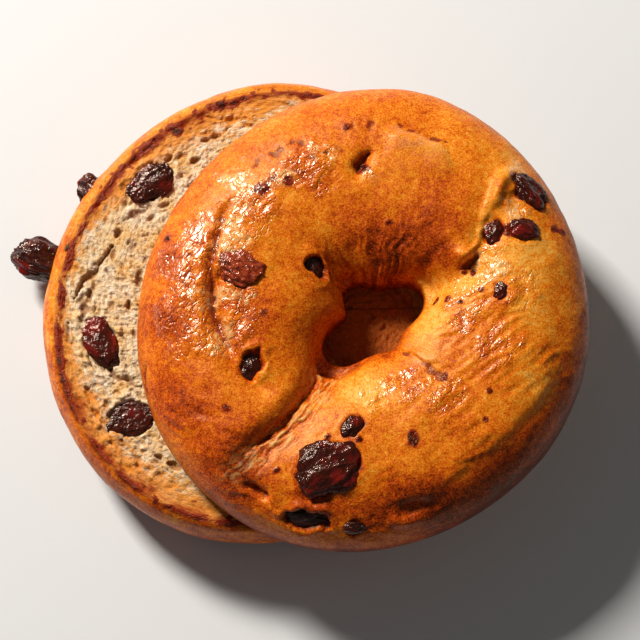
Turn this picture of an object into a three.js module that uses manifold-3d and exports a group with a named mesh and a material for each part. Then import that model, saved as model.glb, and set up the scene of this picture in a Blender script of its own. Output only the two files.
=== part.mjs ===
// A raisin bagel, sliced level through the middle. The bottom half lies with its cut face up, and the
// top half lies crust up on it, slid to the right so that a crescent of the crumb shows.
// Millimetres, +Z up, and the flat base at z = 0.
import * as THREE from 'three';
import { mergeVertices } from 'three/addons/utils/BufferGeometryUtils.js';
import Module from 'manifold-3d';

const wasm = await Module();
wasm.setup();

// Driving dimensions of the ring
const outerRadius = 54.8; // mean, seen from above, at the widest level
const holeRadius = 9.6; // mean
const holeCentre = [2.2, -1.0]; // from the ring's centre
const bottomSpread = 1.0148; // the bottom half is this much larger across than the top half
const bottomCentre = [-6.38, 1.21];
const slide = [22.62, -4.38]; // from the bottom half's centre to the top half's
const gap = 0.3; // between pieces that touch

// Slow waves in the two edges: how many to a turn, how large, and the direction of one peak in degrees
const outerWaves = [[2, 1.67, 131], [3, 0.56, -98], [4, 0.43, -69]];
const holeWaves = [[2, 2.4, 88], [3, 1.0, -8], [4, 1.67, 138]];

// Section of the top half: a dome over a short wall that tucks in to the cut edge
const top = {
  height: 18.5,
  widestAt: 4,
  squareness: 2.25,
  outerTuck: 0.8,
  holeTuck: 0.5,
};

// Section of the bottom half: a flat base, round lower corners, and walls that tuck in to the cut edge
const bottom = {
  height: 21,
  widestAt: 13.5,
  baseInset: [9, 5], // at the outer edge and at the hole
  outerTuck: 3,
  holeTuck: 1.5,
};

const topGrid = { turns: 108, dome: 20, wall: 1 };
const bottomGrid = { turns: 80, lower: 4, upper: 2, face: 3 };

// Creases of the top crust, along lines given in mm from the half's centre. Width is to the left and to
// the right of the line, fade is the share of its length over which each end runs out.
const creases = [
  { // where the two ends of the dough rope overlap
    line: [[-8.0, -9.5], [-11.8, -17.2], [-18.0, -26.5], [-27.7, -34.6], [-36.0, -41.5]],
    depth: 4.4, width: [5.8, 2.5], fade: [0.02, 0.45],
  },
  { // the pale seam across the right lobe
    line: [[14.5, 5.0], [20.8, 7.1], [25.3, 9.1], [27.4, 14.6], [31.2, 27.1], [36.0, 37.5]],
    depth: 3.0, width: [3.4, 3.2], fade: [0.02, 0.4],
  },
  { // the long fold of the left lobe
    line: [[-29.7, 10.3], [-34.0, 6.5], [-34.4, 0], [-32.4, -8.0], [-25.5, -17.5], [-18.6, -21.8]],
    depth: 1.8, width: [1.8, 2.6], fade: [0.2, 0.25],
  },
  { // a notch at the corner of the hole
    line: [[-2.2, 6.0], [-5.4, 9.2], [-8.0, 13.4], [-8.8, 18.0]],
    depth: 1.6, width: [1.8, 1.8], fade: [0.05, 0.6],
  },
  { // a short slit at the top
    line: [[2.3, 38.4], [-0.5, 33.8], [-2.9, 29.8]],
    depth: 1.6, width: [1.6, 1.6], fade: [0.3, 0.3],
  },
  { // a slit low on the outer side
    line: [[-27.5, -41.0], [-24.6, -43.0], [-21.5, -44.8]],
    depth: 1.4, width: [1.4, 1.4], fade: [0.3, 0.3],
  },
];

// Raised folds beside the creases, in the same form
const ridges = [
  { // the swollen edge of the pale seam
    line: [[27.2, 19.0], [29.7, 23.7], [31.9, 29.1], [34.0, 36.0]],
    depth: -1.2, width: [1.8, 1.8], fade: [0.3, 0.4],
  },
  { // the lip of the low hollow
    line: [[-18.2, -46.1], [-12.0, -46.2], [-7.6, -48.6]],
    depth: -1.1, width: [1.6, 1.6], fade: [0.3, 0.3],
  },
  { // a lip low on the right
    line: [[4.5, -48.2], [9.0, -49.4], [15.0, -47.6]],
    depth: -1.0, width: [1.6, 1.6], fade: [0.3, 0.3],
  },
  { // the arc-shaped step of the skin at the top
    line: [[3.9, 42.3], [10.2, 40.4], [17.5, 37.0], [21.5, 30.5]],
    depth: -0.9, width: [1.2, 4.0], fade: [0.25, 0.3],
  },
];

// Dents in the top crust: place, length and width, heading in degrees, and depth
const dents = [
  { at: [24.6, 9.8], size: [5, 4], heading: 20, depth: 1.8 },
  { at: [35.1, 25.7], size: [7, 4], heading: -40, depth: 1.4 },
  { at: [-10.7, -44.5], size: [8, 4], heading: 0, depth: 1.6 },
  { at: [11.8, -46.6], size: [9, 4], heading: 8, depth: 1.8 },
  { at: [23.3, 12.6], size: [5, 4], heading: 30, depth: -1.2 },
];

// Raisins in the top crust. Size is length and width, cap and root are how far one reaches above and
// below its middle, and sunk is the depth of that middle under the crust. A hollow over one is given by
// its opening's length and width and by its depth.
const topRaisins = [
  {
    name: 'raisin_top_large', at: [-8.2, -38.0], size: [14.2, 11.6], heading: 25,
    cap: 1.5, root: 4.6, detail: 2,
  },
  {
    name: 'raisin_top_small', at: [-3.0, -28.4], size: [5.6, 4.4], heading: 70,
    cap: 1.1, root: 2.6, detail: 1,
  },
  {
    name: 'raisin_low_hollow', at: [-13.7, -49.4], size: [9.2, 5], heading: 0,
    cap: 1.4, root: 2.6, sunk: 2, hollow: [10.4, 5.4, 2.2], detail: 1,
  },
  {
    name: 'raisin_low', at: [-2.2, -51.0], size: [4.8, 3.2], heading: 5,
    cap: 0.8, root: 2.2, detail: 1,
  },
  {
    name: 'raisin_fold_hollow', at: [-25.8, -13.4], size: [6.6, 5.4], heading: 75,
    cap: 1.3, root: 2.6, sunk: 2.2, hollow: [7, 4.8, 2.4], detail: 1,
  },
  {
    name: 'raisin_under_skin', at: [-28.7, 9.1], size: [9.8, 7.8], heading: -20,
    cap: 0.9, root: 3.4, detail: 2,
  },
  {
    name: 'raisin_hole_side', at: [-10.8, 9.9], size: [6.6, 4.8], heading: -60,
    cap: 1.2, root: 2.6, sunk: 1.8, hollow: [6.6, 4.6, 2.2], detail: 1,
  },
  {
    name: 'raisin_right_long', at: [39.1, 28.5], size: [9.6, 6], heading: -42,
    cap: 1.4, root: 3.2, detail: 2,
  },
  {
    name: 'raisin_right_oval', at: [30.6, 17.9], size: [5.8, 4.6], heading: 80,
    cap: 0.9, root: 2.6, detail: 1,
  },
  {
    name: 'raisin_right_wrinkled', at: [37.4, 18.5], size: [6.4, 5], heading: -8,
    cap: 1.1, root: 2.8, detail: 2,
  },
  {
    name: 'raisin_right_small', at: [31.6, 3.3], size: [4.6, 3.2], heading: 75,
    cap: 0.8, root: 2.2, detail: 1,
  },
];

// Raisins of the bottom half, in the same form. The knife passed through those in the cut face, and
// those in the side give the height of their middle as a level.
const bottomRaisins = [
  {
    name: 'raisin_cut_upper', at: [-28.5, 30.2], size: [11.4, 7.2], heading: 36,
    cap: 0.8, root: 4, detail: 2,
  },
  {
    name: 'raisin_cut_left', at: [-39.8, -9.4], size: [12.2, 7.4], heading: -70,
    cap: 0.8, root: 4, detail: 2,
  },
  {
    name: 'raisin_cut_lower', at: [-32.4, -27.6], size: [11, 8.2], heading: 8,
    cap: 0.35, root: 4, sunk: 0.45, detail: 2,
  },
  {
    name: 'raisin_side_upper', at: [-42.6, 30.2], size: [9.2, 7.8], heading: 142,
    cap: 3.5, root: 3.5, level: 13.4, detail: 2,
  },
  {
    name: 'raisin_side_left', at: [-56.3, 14.0], size: [13.8, 10], heading: 166,
    cap: 4.2, root: 4.2, level: 8.6, detail: 2,
  },
];

// Collars of crust round the raisins in the side: direction in degrees, height, size and depth
const collars = [
  { toward: 144.5, level: 13.2, size: [7, 6], depth: 0.9 },
  { toward: 166, level: 8.8, size: [9, 8], depth: 1.1 },
];

const crustFinish = { color: 0xb8651e, roughness: 0.42, metalness: 0 };
const crumbFinish = { color: 0xd9bd92, roughness: 0.85, metalness: 0 };
const raisinFinish = { color: 0x3a0f0c, roughness: 0.35, metalness: 0 };

// The ring seen from above

function waved(radius, waves, turn) {
  const lift = ([count, size, peak]) => size * Math.cos(count * turn - THREE.MathUtils.degToRad(peak));
  return waves.reduce((sum, wave) => sum + lift(wave), radius);
}

// A point between the hole's edge (across = -1) and the outer edge (across = 1)
function ringPoint(turn, across, spread = 1) {
  const outer = waved(outerRadius, outerWaves, turn);
  const hole = waved(holeRadius, holeWaves, turn);
  const radius = (outer + hole) / 2 + across * (outer - hole) / 2;
  const shift = (1 - across) / 2;
  return [
    spread * (holeCentre[0] * shift + radius * Math.cos(turn)),
    spread * (holeCentre[1] * shift + radius * Math.sin(turn)),
  ];
}

function ringWidth(turn, spread = 1) {
  return spread * (waved(outerRadius, outerWaves, turn) - waved(holeRadius, holeWaves, turn));
}

const placeCorrections = 8;
const nearEdge = 0.995;

// The turn and the share across at a plan point, by a few corrections from a first guess
function ringPlace([x, y]) {
  let across = 0;
  let turn = 0;
  for (let step = 0; step < placeCorrections; step += 1) {
    const shift = (1 - across) / 2;
    const dx = x - holeCentre[0] * shift;
    const dy = y - holeCentre[1] * shift;
    turn = Math.atan2(dy, dx);
    const outer = waved(outerRadius, outerWaves, turn);
    const hole = waved(holeRadius, holeWaves, turn);
    across = (Math.hypot(dx, dy) - (outer + hole) / 2) / ((outer - hole) / 2);
  }
  return { turn, across: THREE.MathUtils.clamp(across, -nearEdge, nearEdge) };
}

// The top crust before its creases

function domePoint(turn, across) {
  const power = top.squareness;
  const rise = (1 - Math.abs(across) ** power) ** (1 / power);
  const [x, y] = ringPoint(turn, across);
  return new THREE.Vector3(x, y, top.widestAt + (top.height - top.widestAt) * rise);
}

function domeNormal(turn, across) {
  const step = 1e-3;
  const along = domePoint(turn + step, across).sub(domePoint(turn - step, across));
  const outward = domePoint(turn, across + step).sub(domePoint(turn, across - step));
  return outward.cross(along).normalize();
}

function domeAt(plan) {
  const { turn, across } = ringPlace(plan);
  return { point: domePoint(turn, across), normal: domeNormal(turn, across) };
}

// Relief of the crust, as a height along the surface's normal

const creaseSteps = 20;
const creaseSharpness = 1.5;
const calmHeights = [0.5, 5]; // over which the relief grows from nothing above the cut edge

function laidOnDome(crease) {
  const curve = new THREE.CatmullRomCurve3(crease.line.map((plan) => domeAt(plan).point));
  return { ...crease, points: curve.getPoints(creaseSteps) };
}

const creaseLines = [...creases, ...ridges].map(laidOnDome);

function creaseHeight(point, { points, depth, width, fade }) {
  let nearest = { distance: Infinity };
  for (let index = 0; index < points.length - 1; index += 1) {
    const segment = new THREE.Line3(points[index], points[index + 1]);
    const share = segment.closestPointToPointParameter(point, true);
    const foot = segment.at(share, new THREE.Vector3());
    const distance = foot.distanceTo(point);
    if (distance < nearest.distance) {
      const along = segment.delta(new THREE.Vector3());
      const aside = point.clone().sub(foot);
      const left = along.x * aside.y - along.y * aside.x > 0;
      nearest = { distance, left, share: (index + share) / (points.length - 1) };
    }
  }
  const wide = nearest.left ? width[0] : width[1];
  const ends = THREE.MathUtils.smoothstep(nearest.share, 0, fade[0])
    * (1 - THREE.MathUtils.smoothstep(nearest.share, 1 - fade[1], 1));
  return -depth * ends * Math.exp(-((nearest.distance / wide) ** creaseSharpness));
}

function dentHeight(point, { at, size, heading, depth }) {
  const away = point.clone().sub(domeAt(at).point);
  const turned = THREE.MathUtils.degToRad(heading);
  const along = away.x * Math.cos(turned) + away.y * Math.sin(turned);
  const aside = Math.hypot(-away.x * Math.sin(turned) + away.y * Math.cos(turned), away.z);
  return -depth * Math.exp(-((2 * along / size[0]) ** 2) - (2 * aside / size[1]) ** 2);
}

function topRelief(point) {
  const lines = creaseLines.reduce((sum, line) => sum + creaseHeight(point, line), 0);
  const hollows = dents.reduce((sum, dent) => sum + dentHeight(point, dent), 0);
  const calm = THREE.MathUtils.smoothstep(point.z, ...calmHeights);
  return calm * (lines + hollows);
}

// The two halves, as closed grids: one ring of section points for each step of the turn

function closedGrid(rings) {
  const across = rings[0].length;
  const positions = rings.flat().flatMap((point) => point.toArray());
  const indices = [];
  rings.forEach((ring, row) => {
    const here = row * across;
    const next = ((row + 1) % rings.length) * across;
    ring.forEach((_, column) => {
      const beside = (column + 1) % across;
      indices.push(here + column, next + column, next + beside);
      indices.push(here + column, next + beside, here + beside);
    });
  });
  const geometry = new THREE.BufferGeometry();
  geometry.setAttribute('position', new THREE.Float32BufferAttribute(positions, 3));
  geometry.setIndex(indices);
  return geometry;
}

function steps(count) {
  return Array.from({ length: count }, (_, index) => index / count);
}

function topSection(turn) {
  const width = ringWidth(turn);
  const wallPoint = (share, side, tuck) => {
    const inset = tuck * (1 - share) ** 2;
    const [x, y] = ringPoint(turn, side * (1 - (2 * inset) / width));
    return new THREE.Vector3(x, y, top.widestAt * share);
  };
  const domeShare = (share) => {
    const angle = Math.PI * share;
    return Math.sign(Math.cos(angle)) * Math.abs(Math.cos(angle)) ** (2 / top.squareness);
  };
  const crust = [...steps(topGrid.dome), 1].map((share) => {
    const across = domeShare(share);
    const point = domePoint(turn, across);
    const normal = domeNormal(turn, THREE.MathUtils.clamp(across, -nearEdge, nearEdge));
    return point.addScaledVector(normal, topRelief(point));
  });
  const outerWall = steps(topGrid.wall).map((share) => wallPoint(share, 1, top.outerTuck));
  const holeWall = steps(topGrid.wall).map((share) => wallPoint(share, -1, top.holeTuck)).reverse();
  return [...outerWall, ...crust, ...holeWall];
}

function collarHeight(point) {
  return collars.reduce((sum, { toward, level, size, depth }) => {
    const turned = THREE.MathUtils.degToRad(toward);
    const aside = -point.x * Math.sin(turned) + point.y * Math.cos(turned);
    const ahead = point.x * Math.cos(turned) + point.y * Math.sin(turned) > 0 ? 1 : 0;
    const spot = (2 * aside / size[0]) ** 2 + (2 * (point.z - level) / size[1]) ** 2;
    return sum + ahead * depth * Math.exp(-spot);
  }, 0);
}

function bottomSection(turn) {
  const width = ringWidth(turn, bottomSpread);
  const place = (inset, side, height) => {
    const [x, y] = ringPoint(turn, side * (1 - (2 * inset) / width), bottomSpread);
    const point = new THREE.Vector3(x, y, height);
    if (side < 0) return point;
    const lift = collarHeight(point);
    return point.add(new THREE.Vector3(lift * Math.cos(turn), lift * Math.sin(turn), 0));
  };
  const lowerWall = (side, baseInset) => steps(bottomGrid.lower).map((share) => {
    const angle = (Math.PI / 2) * share;
    return place(baseInset * (1 - Math.sin(angle)), side, bottom.widestAt * (1 - Math.cos(angle)));
  });
  const upperWall = (side, tuck) => steps(bottomGrid.upper).map((share) => {
    const height = bottom.widestAt + (bottom.height - bottom.widestAt) * share;
    return place(tuck * share ** 2, side, height);
  });
  const cutFace = [...steps(bottomGrid.face), 1].map((share) => {
    const outer = 1 - (2 * bottom.outerTuck) / width;
    const hole = -1 + (2 * bottom.holeTuck) / width;
    const [x, y] = ringPoint(turn, outer + (hole - outer) * share, bottomSpread);
    return new THREE.Vector3(x, y, bottom.height);
  });
  return [
    ...lowerWall(1, bottom.baseInset[0]),
    ...upperWall(1, bottom.outerTuck),
    ...cutFace,
    ...upperWall(-1, bottom.holeTuck).reverse(),
    ...lowerWall(-1, bottom.baseInset[1]).reverse(),
  ];
}

function halfGeometry(section, turns) {
  return closedGrid(steps(turns).map((share) => section(2 * Math.PI * share)));
}

// Raisins: a ball pinched by a few seeded waves, then squashed to its size, its cap and its root

function seededRandom(seed) {
  let state = seed;
  return () => {
    state = (state * 1664525 + 1013904223) % 4294967296;
    return state / 4294967296;
  };
}

const wrinkleWaves = 5;
const wrinkleDepth = 0.055;

function raisinGeometry({ size, cap, root, detail }, seed, grow = 0) {
  const random = seededRandom(seed);
  const waves = Array.from({ length: wrinkleWaves }, () => ({
    direction: new THREE.Vector3(random() - 0.5, random() - 0.5, random() - 0.5).normalize(),
    count: 3 + 4 * random(),
    phase: 2 * Math.PI * random(),
  }));
  const ball = new THREE.IcosahedronGeometry(1, detail);
  ball.deleteAttribute('normal');
  ball.deleteAttribute('uv');
  const geometry = mergeVertices(ball);
  const positions = geometry.getAttribute('position');
  const point = new THREE.Vector3();
  for (let index = 0; index < positions.count; index += 1) {
    point.fromBufferAttribute(positions, index);
    const pinch = waves.reduce((sum, { direction, count, phase }) => (
      sum + Math.sin(count * point.dot(direction) + phase)
    ), 0);
    const radius = 1 + wrinkleDepth * pinch;
    const height = point.z > 0 ? cap : root;
    const reach = new THREE.Vector3(size[0] / 2 + grow, size[1] / 2 + grow, height + grow);
    point.multiply(reach).multiplyScalar(radius);
    positions.setXYZ(index, point.x, point.y, point.z);
  }
  return geometry;
}

// The turned frame of a piece that lies on a surface, its length along a heading
function lyingAt(point, normal, heading) {
  const angle = THREE.MathUtils.degToRad(heading);
  const ahead = new THREE.Vector3(Math.cos(angle), Math.sin(angle), 0);
  const side = normal.clone().cross(ahead).normalize();
  const along = side.clone().cross(normal);
  return new THREE.Matrix4().makeBasis(along, side, normal).setPosition(point);
}

function raisinFrame(raisin) {
  const { at, heading, level, sunk = 0 } = raisin;
  if (bottomRaisins.includes(raisin)) {
    const upright = new THREE.Vector3(0, 0, 1);
    return lyingAt(new THREE.Vector3(...at, level ?? bottom.height - sunk), upright, heading);
  }
  const { point, normal } = domeAt(at);
  return lyingAt(point.clone().addScaledVector(normal, topRelief(point) - sunk), normal, heading);
}

// Cuts made with closed bodies

function toSolid(geometry) {
  const vertProperties = new Float32Array(geometry.getAttribute('position').array);
  const triVerts = new Uint32Array(geometry.getIndex().array);
  return new wasm.Manifold(new wasm.Mesh({ numProp: 3, vertProperties, triVerts }));
}

function toGeometry(solid) {
  const { vertProperties, triVerts } = solid.getMesh();
  const geometry = new THREE.BufferGeometry();
  geometry.setAttribute('position', new THREE.BufferAttribute(vertProperties, 3));
  geometry.setIndex(new THREE.BufferAttribute(triVerts, 1));
  return geometry;
}

const pocketClearance = gap + 0.08; // a little over the gap, because the cap and root are flatter
const mouthSeed = 90;

function hollowMouth({ hollow, sunk }, seed) {
  const [length, width, depth] = hollow;
  const geometry = raisinGeometry({ size: [length, width], cap: depth, root: depth, detail: 1 }, seed);
  return geometry.translate(0, 0, sunk);
}

function withPockets(geometry, raisins) {
  return raisins.reduce((solid, raisin, index) => {
    const frame = raisinFrame(raisin);
    const pocket = raisinGeometry(raisin, index + 1, pocketClearance).applyMatrix4(frame);
    const cut = solid.subtract(toSolid(pocket));
    if (!raisin.hollow) return cut;
    return cut.subtract(toSolid(hollowMouth(raisin, mouthSeed + index).applyMatrix4(frame)));
  }, toSolid(geometry));
}

// The pieces and their places

function piece(name, geometry, finish) {
  geometry.computeVertexNormals();
  const mesh = new THREE.Mesh(geometry, new THREE.MeshStandardMaterial(finish));
  mesh.name = name;
  return mesh;
}

function half(name, geometry, raisins, finish) {
  const group = new THREE.Group();
  group.add(piece(name, toGeometry(withPockets(geometry, raisins)), finish));
  raisins.forEach((raisin, index) => {
    const body = raisinGeometry(raisin, index + 1).applyMatrix4(raisinFrame(raisin));
    group.add(piece(raisin.name, body, raisinFinish));
  });
  return group;
}

const bottomLoaf = halfGeometry(bottomSection, bottomGrid.turns);
const bottomHalf = half('bottom_half', bottomLoaf, bottomRaisins, crumbFinish);
bottomHalf.position.set(...bottomCentre, 0);

const topLoaf = halfGeometry(topSection, topGrid.turns);
const topHalf = half('top_half', topLoaf, topRaisins, crustFinish);
topHalf.position.set(bottomCentre[0] + slide[0], bottomCentre[1] + slide[1], bottom.height + gap);

const bagel = new THREE.Group();
bagel.add(bottomHalf, topHalf);

export default bagel;
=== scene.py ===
# %% [markdown]
# A raisin bagel, sliced level through the middle. The bottom half lies with its cut face up, and the
# top half lies crust up on it, slid to the right so that a crescent of crumb shows.
#
# Bread could be sculpted by hand or scanned. Here every surface is worked out by formula instead:
# a plan of two wavy circles, a section carried round it, and then relief laid on along the normals.
# That way each crease, raisin and bubble has a place and a size in millimetres that can be changed.

import itertools
import math

import bpy
import numpy as np
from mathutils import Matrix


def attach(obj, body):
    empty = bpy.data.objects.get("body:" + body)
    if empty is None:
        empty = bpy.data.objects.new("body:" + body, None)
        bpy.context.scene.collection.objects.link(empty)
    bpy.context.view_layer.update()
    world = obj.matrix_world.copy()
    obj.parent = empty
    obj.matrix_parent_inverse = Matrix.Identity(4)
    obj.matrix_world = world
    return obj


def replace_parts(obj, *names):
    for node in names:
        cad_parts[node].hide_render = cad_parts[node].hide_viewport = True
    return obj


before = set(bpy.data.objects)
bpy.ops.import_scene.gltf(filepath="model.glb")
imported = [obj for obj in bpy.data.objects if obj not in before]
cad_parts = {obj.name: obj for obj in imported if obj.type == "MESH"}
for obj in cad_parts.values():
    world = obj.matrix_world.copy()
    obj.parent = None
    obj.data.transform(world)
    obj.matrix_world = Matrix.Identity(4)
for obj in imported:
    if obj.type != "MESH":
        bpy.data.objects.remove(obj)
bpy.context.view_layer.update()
MM = 0.001
print("frame nodes:", len(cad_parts))

# %% [markdown]
# The plan. Seen from above, both halves are the same ring: an outer circle and a hole, each with a
# few slow waves, because dough rolled by hand is never round. One function gives any point between
# the two edges, so the crust, the crumb and the raisins all share it.

# %% The ring seen from above
outer_radius = 54.8
outer_waves = ((2, 1.67, 131), (3, 0.56, -98), (4, 0.43, -69))
hole_radius = 9.6
hole_waves = ((2, 2.4, 88), (3, 1.0, -8), (4, 1.67, 138))
hole_centre = (2.2, -1.0)
half_width = (outer_radius - hole_radius) / 2
bottom_spread = 1.0148
bottom_centre = np.array((-6.38, 1.21, 0.0))
bottom_height = 21.0
gap = 0.3
slide = np.array((22.62, -4.38, bottom_height + gap))
top_centre = bottom_centre + slide


def waved(radius, waves, turn):
    """A circle with waves: radius + the sum of size * cos(count * turn - phase), a term for each wave."""
    return radius + sum(size * np.cos(count * turn - math.radians(phase)) for count, size, phase in waves)


def ring_edges(turn):
    """The outer radius and the hole's radius at a turn."""
    return waved(outer_radius, outer_waves, turn), waved(hole_radius, hole_waves, turn)


def ring_point(turn, across):
    """The plan point at a turn, with across -1 at the hole's edge and 1 at the outer edge: a radius between
    the two, about a centre that slides from the hole's centre to the ring's own."""
    outer, hole = ring_edges(turn)
    radius = (outer + hole) / 2 + across * (outer - hole) / 2
    shift = (1 - across) / 2
    return np.stack((hole_centre[0] * shift + radius * np.cos(turn),
                     hole_centre[1] * shift + radius * np.sin(turn)), -1)


def ring_place(plan):
    """The turn and the share across at a plan point, by eight corrections from a first guess."""
    across = np.zeros(plan.shape[:-1])
    for _ in range(8):
        shift = (1 - across) / 2
        x = plan[..., 0] - hole_centre[0] * shift
        y = plan[..., 1] - hole_centre[1] * shift
        turn = np.arctan2(y, x)
        outer, hole = ring_edges(turn)
        across = (np.hypot(x, y) - (outer + hole) / 2) / ((outer - hole) / 2)
    return turn, np.clip(across, -0.995, 0.995)


def smooth(value, low, high):
    """0 below low, 1 above high, and the cubic 3t^2 - 2t^3 between them."""
    share = np.clip((value - low) / (high - low), 0, 1)
    return share * share * (3 - 2 * share)


print("hole to rim, mm:", np.round(ring_edges(np.zeros(1)), 1).ravel())

# %% [markdown]
# Dough is uneven at every size, so the shapes below need noise that can be worked out on whole
# arrays at once. Blender has noise for single points, which would be slow for a million of them.
# The one here is gradient noise: a random slope at each corner of a lattice, blended in between.

# %% Noise and bubbles on whole arrays
stir = (374761393, 668265263, 2246822519, 3266489917)
word = np.uint64(0xffffffff)


def scrambled(cell, seed):
    """A number from 0 to 1 for each lattice cell: its coordinates times large odd numbers, then folded onto
    itself and multiplied three times."""
    whole = (cell + 65536).astype(np.uint64)
    mixed = whole[..., 0] * np.uint64(stir[0]) + whole[..., 1] * np.uint64(stir[1])
    mixed = mixed + whole[..., 2] * np.uint64(stir[2]) + np.uint64(seed * stir[3] + 97)
    for shift, factor in ((15, stir[2]), (13, stir[3]), (16, stir[1])):
        mixed = mixed & word
        mixed = (mixed ^ (mixed >> np.uint64(shift))) * np.uint64(factor)
    return (mixed & np.uint64(0xffffff)).astype(float) / 0xffffff


def lumps(points, size, seed):
    """Gradient noise, about -1 to 1, with lumps of a size in mm: at each of a cell's eight corners a random
    slope times the way from that corner, blended by the fade 6t^5 - 15t^4 + 10t^3."""
    place = points / np.asarray(size, float)
    cell = np.floor(place)
    inside = place - cell
    fade = inside ** 3 * (inside * (inside * 6 - 15) + 10)
    total = np.zeros(points.shape[:-1])
    for corner in itertools.product((0, 1), repeat=3):
        step = np.array(corner)
        slope = np.stack([scrambled(cell + step, seed + axis) for axis in (0, 101, 202)], -1) * 2 - 1
        weight = np.prod(np.where(step == 1, fade, 1 - fade), axis=-1)
        total += weight * ((inside - step) * slope).sum(-1)
    return total * 1.5


def folds(points, size, seed):
    """Ridged noise, 0 to 1, with sharp crests: one less twice the noise's distance from zero."""
    return np.clip(1 - 2.2 * np.abs(lumps(points, size, seed)), 0, 1)


def bubbles(along, aside, cell_size, sizes, chance, seed, swing=0.6):
    """How deep, 0 to 1, each place lies in a scatter of oval bubbles. A cell of the plane holds one bubble
    by chance, at a random spot, with its length and width drawn round two half sizes and its heading swung
    by up to swing. The depth falls from the middle as the root of 1 - q^2."""
    place = np.stack((along / cell_size[0], aside / cell_size[1], np.zeros_like(along)), -1)
    cell = np.floor(place)
    deepest = np.zeros(along.shape)
    for step in itertools.product((-1, 0, 1), (-1, 0, 1), (0,)):
        home = cell + np.array(step)
        draw = [scrambled(home, seed + 31 * number) for number in range(6)]
        off_along = along - (home[..., 0] + 0.15 + 0.7 * draw[0]) * cell_size[0]
        off_aside = aside - (home[..., 1] + 0.15 + 0.7 * draw[1]) * cell_size[1]
        heading = (draw[2] - 0.5) * 2 * swing
        length = sizes[0] * (0.45 + 0.9 * draw[3] ** 2)
        width = sizes[1] * (0.5 + 0.8 * draw[4])
        u = (off_along * np.cos(heading) + off_aside * np.sin(heading)) / length
        v = (off_aside * np.cos(heading) - off_along * np.sin(heading)) / width
        bowl = np.sqrt(np.clip(1 - u * u - v * v, 0, 1)) * (0.55 + 0.45 * draw[3])
        deepest = np.maximum(deepest, np.where(draw[5] < chance, bowl, 0))
    return deepest


sample = np.random.default_rng(1).uniform(-50, 50, (2000, 3))
print("spread of the noise:", round(float(lumps(sample, 3, 5).std()), 3))

# %% [markdown]
# Each half becomes one closed skin. The grid runs round the ring one way and round the section the
# other way, and both directions close on themselves, so there is no seam to weld. The masks that
# steer the materials, such as how brown a spot is, are worked out with the shape and stored on it.

# %% Put a closed grid into a mesh
def even_steps(curve, count):
    """Shares at which a curve, given by many points, has steps of equal length."""
    length = np.concatenate(([0], np.cumsum(np.linalg.norm(np.diff(curve, axis=0), axis=-1))))
    return np.interp(np.linspace(0, length[-1], count), length, np.linspace(0, 1, len(curve)))


def grid_normals(points):
    """Outward normals of a closed grid: the way round the ring crossed with the way round the section."""
    onward = np.roll(points, -1, 0) - np.roll(points, 1, 0)
    beside = np.roll(points, -1, 1) - np.roll(points, 1, 1)
    normal = np.cross(onward, beside)
    return normal / np.maximum(np.linalg.norm(normal, axis=-1, keepdims=True), 1e-9)


def fill_mesh(name, points, faces, masks, looks):
    """A smooth mesh object from points in mm and four-cornered faces. Each mask becomes a point value, and
    looks says which of the two materials each face has."""
    mesh = bpy.data.meshes.new(name)
    flat = points.reshape(-1, 3) * MM
    mesh.vertices.add(len(flat))
    mesh.vertices.foreach_set("co", flat.astype(np.float32).ravel())
    mesh.loops.add(faces.size)
    mesh.loops.foreach_set("vertex_index", faces.astype(np.int32).ravel())
    mesh.polygons.add(len(faces))
    mesh.polygons.foreach_set("loop_start", (np.arange(len(faces)) * faces.shape[1]).astype(np.int32))
    mesh.polygons.foreach_set("use_smooth", np.ones(len(faces), bool))
    mesh.polygons.foreach_set("material_index", looks.astype(np.int32))
    mesh.update(calc_edges=True)
    for mask, values in masks.items():
        kind, field = ("FLOAT_VECTOR", "vector") if values.ndim == points.ndim else ("FLOAT", "value")
        mesh.attributes.new(mask, kind, "POINT").data.foreach_set(field, values.astype(np.float32).ravel())
    piece = bpy.data.objects.new(name, mesh)
    bpy.context.collection.objects.link(piece)
    return piece


def ring_faces(turns, rows):
    """Each grid point joined to the next in both directions, both of them closed, facing out."""
    index = np.arange(turns * rows).reshape(turns, rows)
    ahead = np.roll(index, -1, 0)
    return np.stack((index, ahead, np.roll(ahead, -1, 1), np.roll(index, -1, 1)), -1).reshape(-1, 4)


print("faces of a closed grid of 8 turns by 6 rows:", len(ring_faces(8, 6)))

# %% [markdown]
# The top crust starts as a plain dome, a flattened half-ring whose section is a superellipse. It could
# be a subdivided torus, but a formula also gives the height and the normal at any place, which all that
# is laid on the crust needs.

# %% The dome
top_height, top_widest, squareness = 18.5, 4.0, 2.25
outer_tuck, hole_tuck = 0.8, 0.5


def dome_point(turn, across):
    """The dome over a plan place: height = widest level + rise * (1 - |across|^n)^(1/n)."""
    rise = (1 - np.abs(across) ** squareness) ** (1 / squareness)
    height = top_widest + (top_height - top_widest) * rise
    return np.concatenate((ring_point(turn, across), height[..., None]), -1)


def dome_at(plan):
    """Point and normal of the dome over plan points, the normal from steps of a thousandth each way."""
    turn, across = ring_place(np.asarray(plan, float))
    step = 1e-3
    along = dome_point(turn + step, across) - dome_point(turn - step, across)
    outward = dome_point(turn, across + step) - dome_point(turn, across - step)
    normal = np.cross(outward, along)
    return dome_point(turn, across), normal / np.linalg.norm(normal, axis=-1, keepdims=True)


print("dome, mm:", np.round(dome_at([(half_width + hole_radius, 0.0)])[0], 1))

# %% [markdown]
# Creases and folds follow lines of a few points. Each line becomes a smooth curve on the dome, and every
# place of the crust then knows how far it is from the line, on which side, and how far along.

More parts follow.
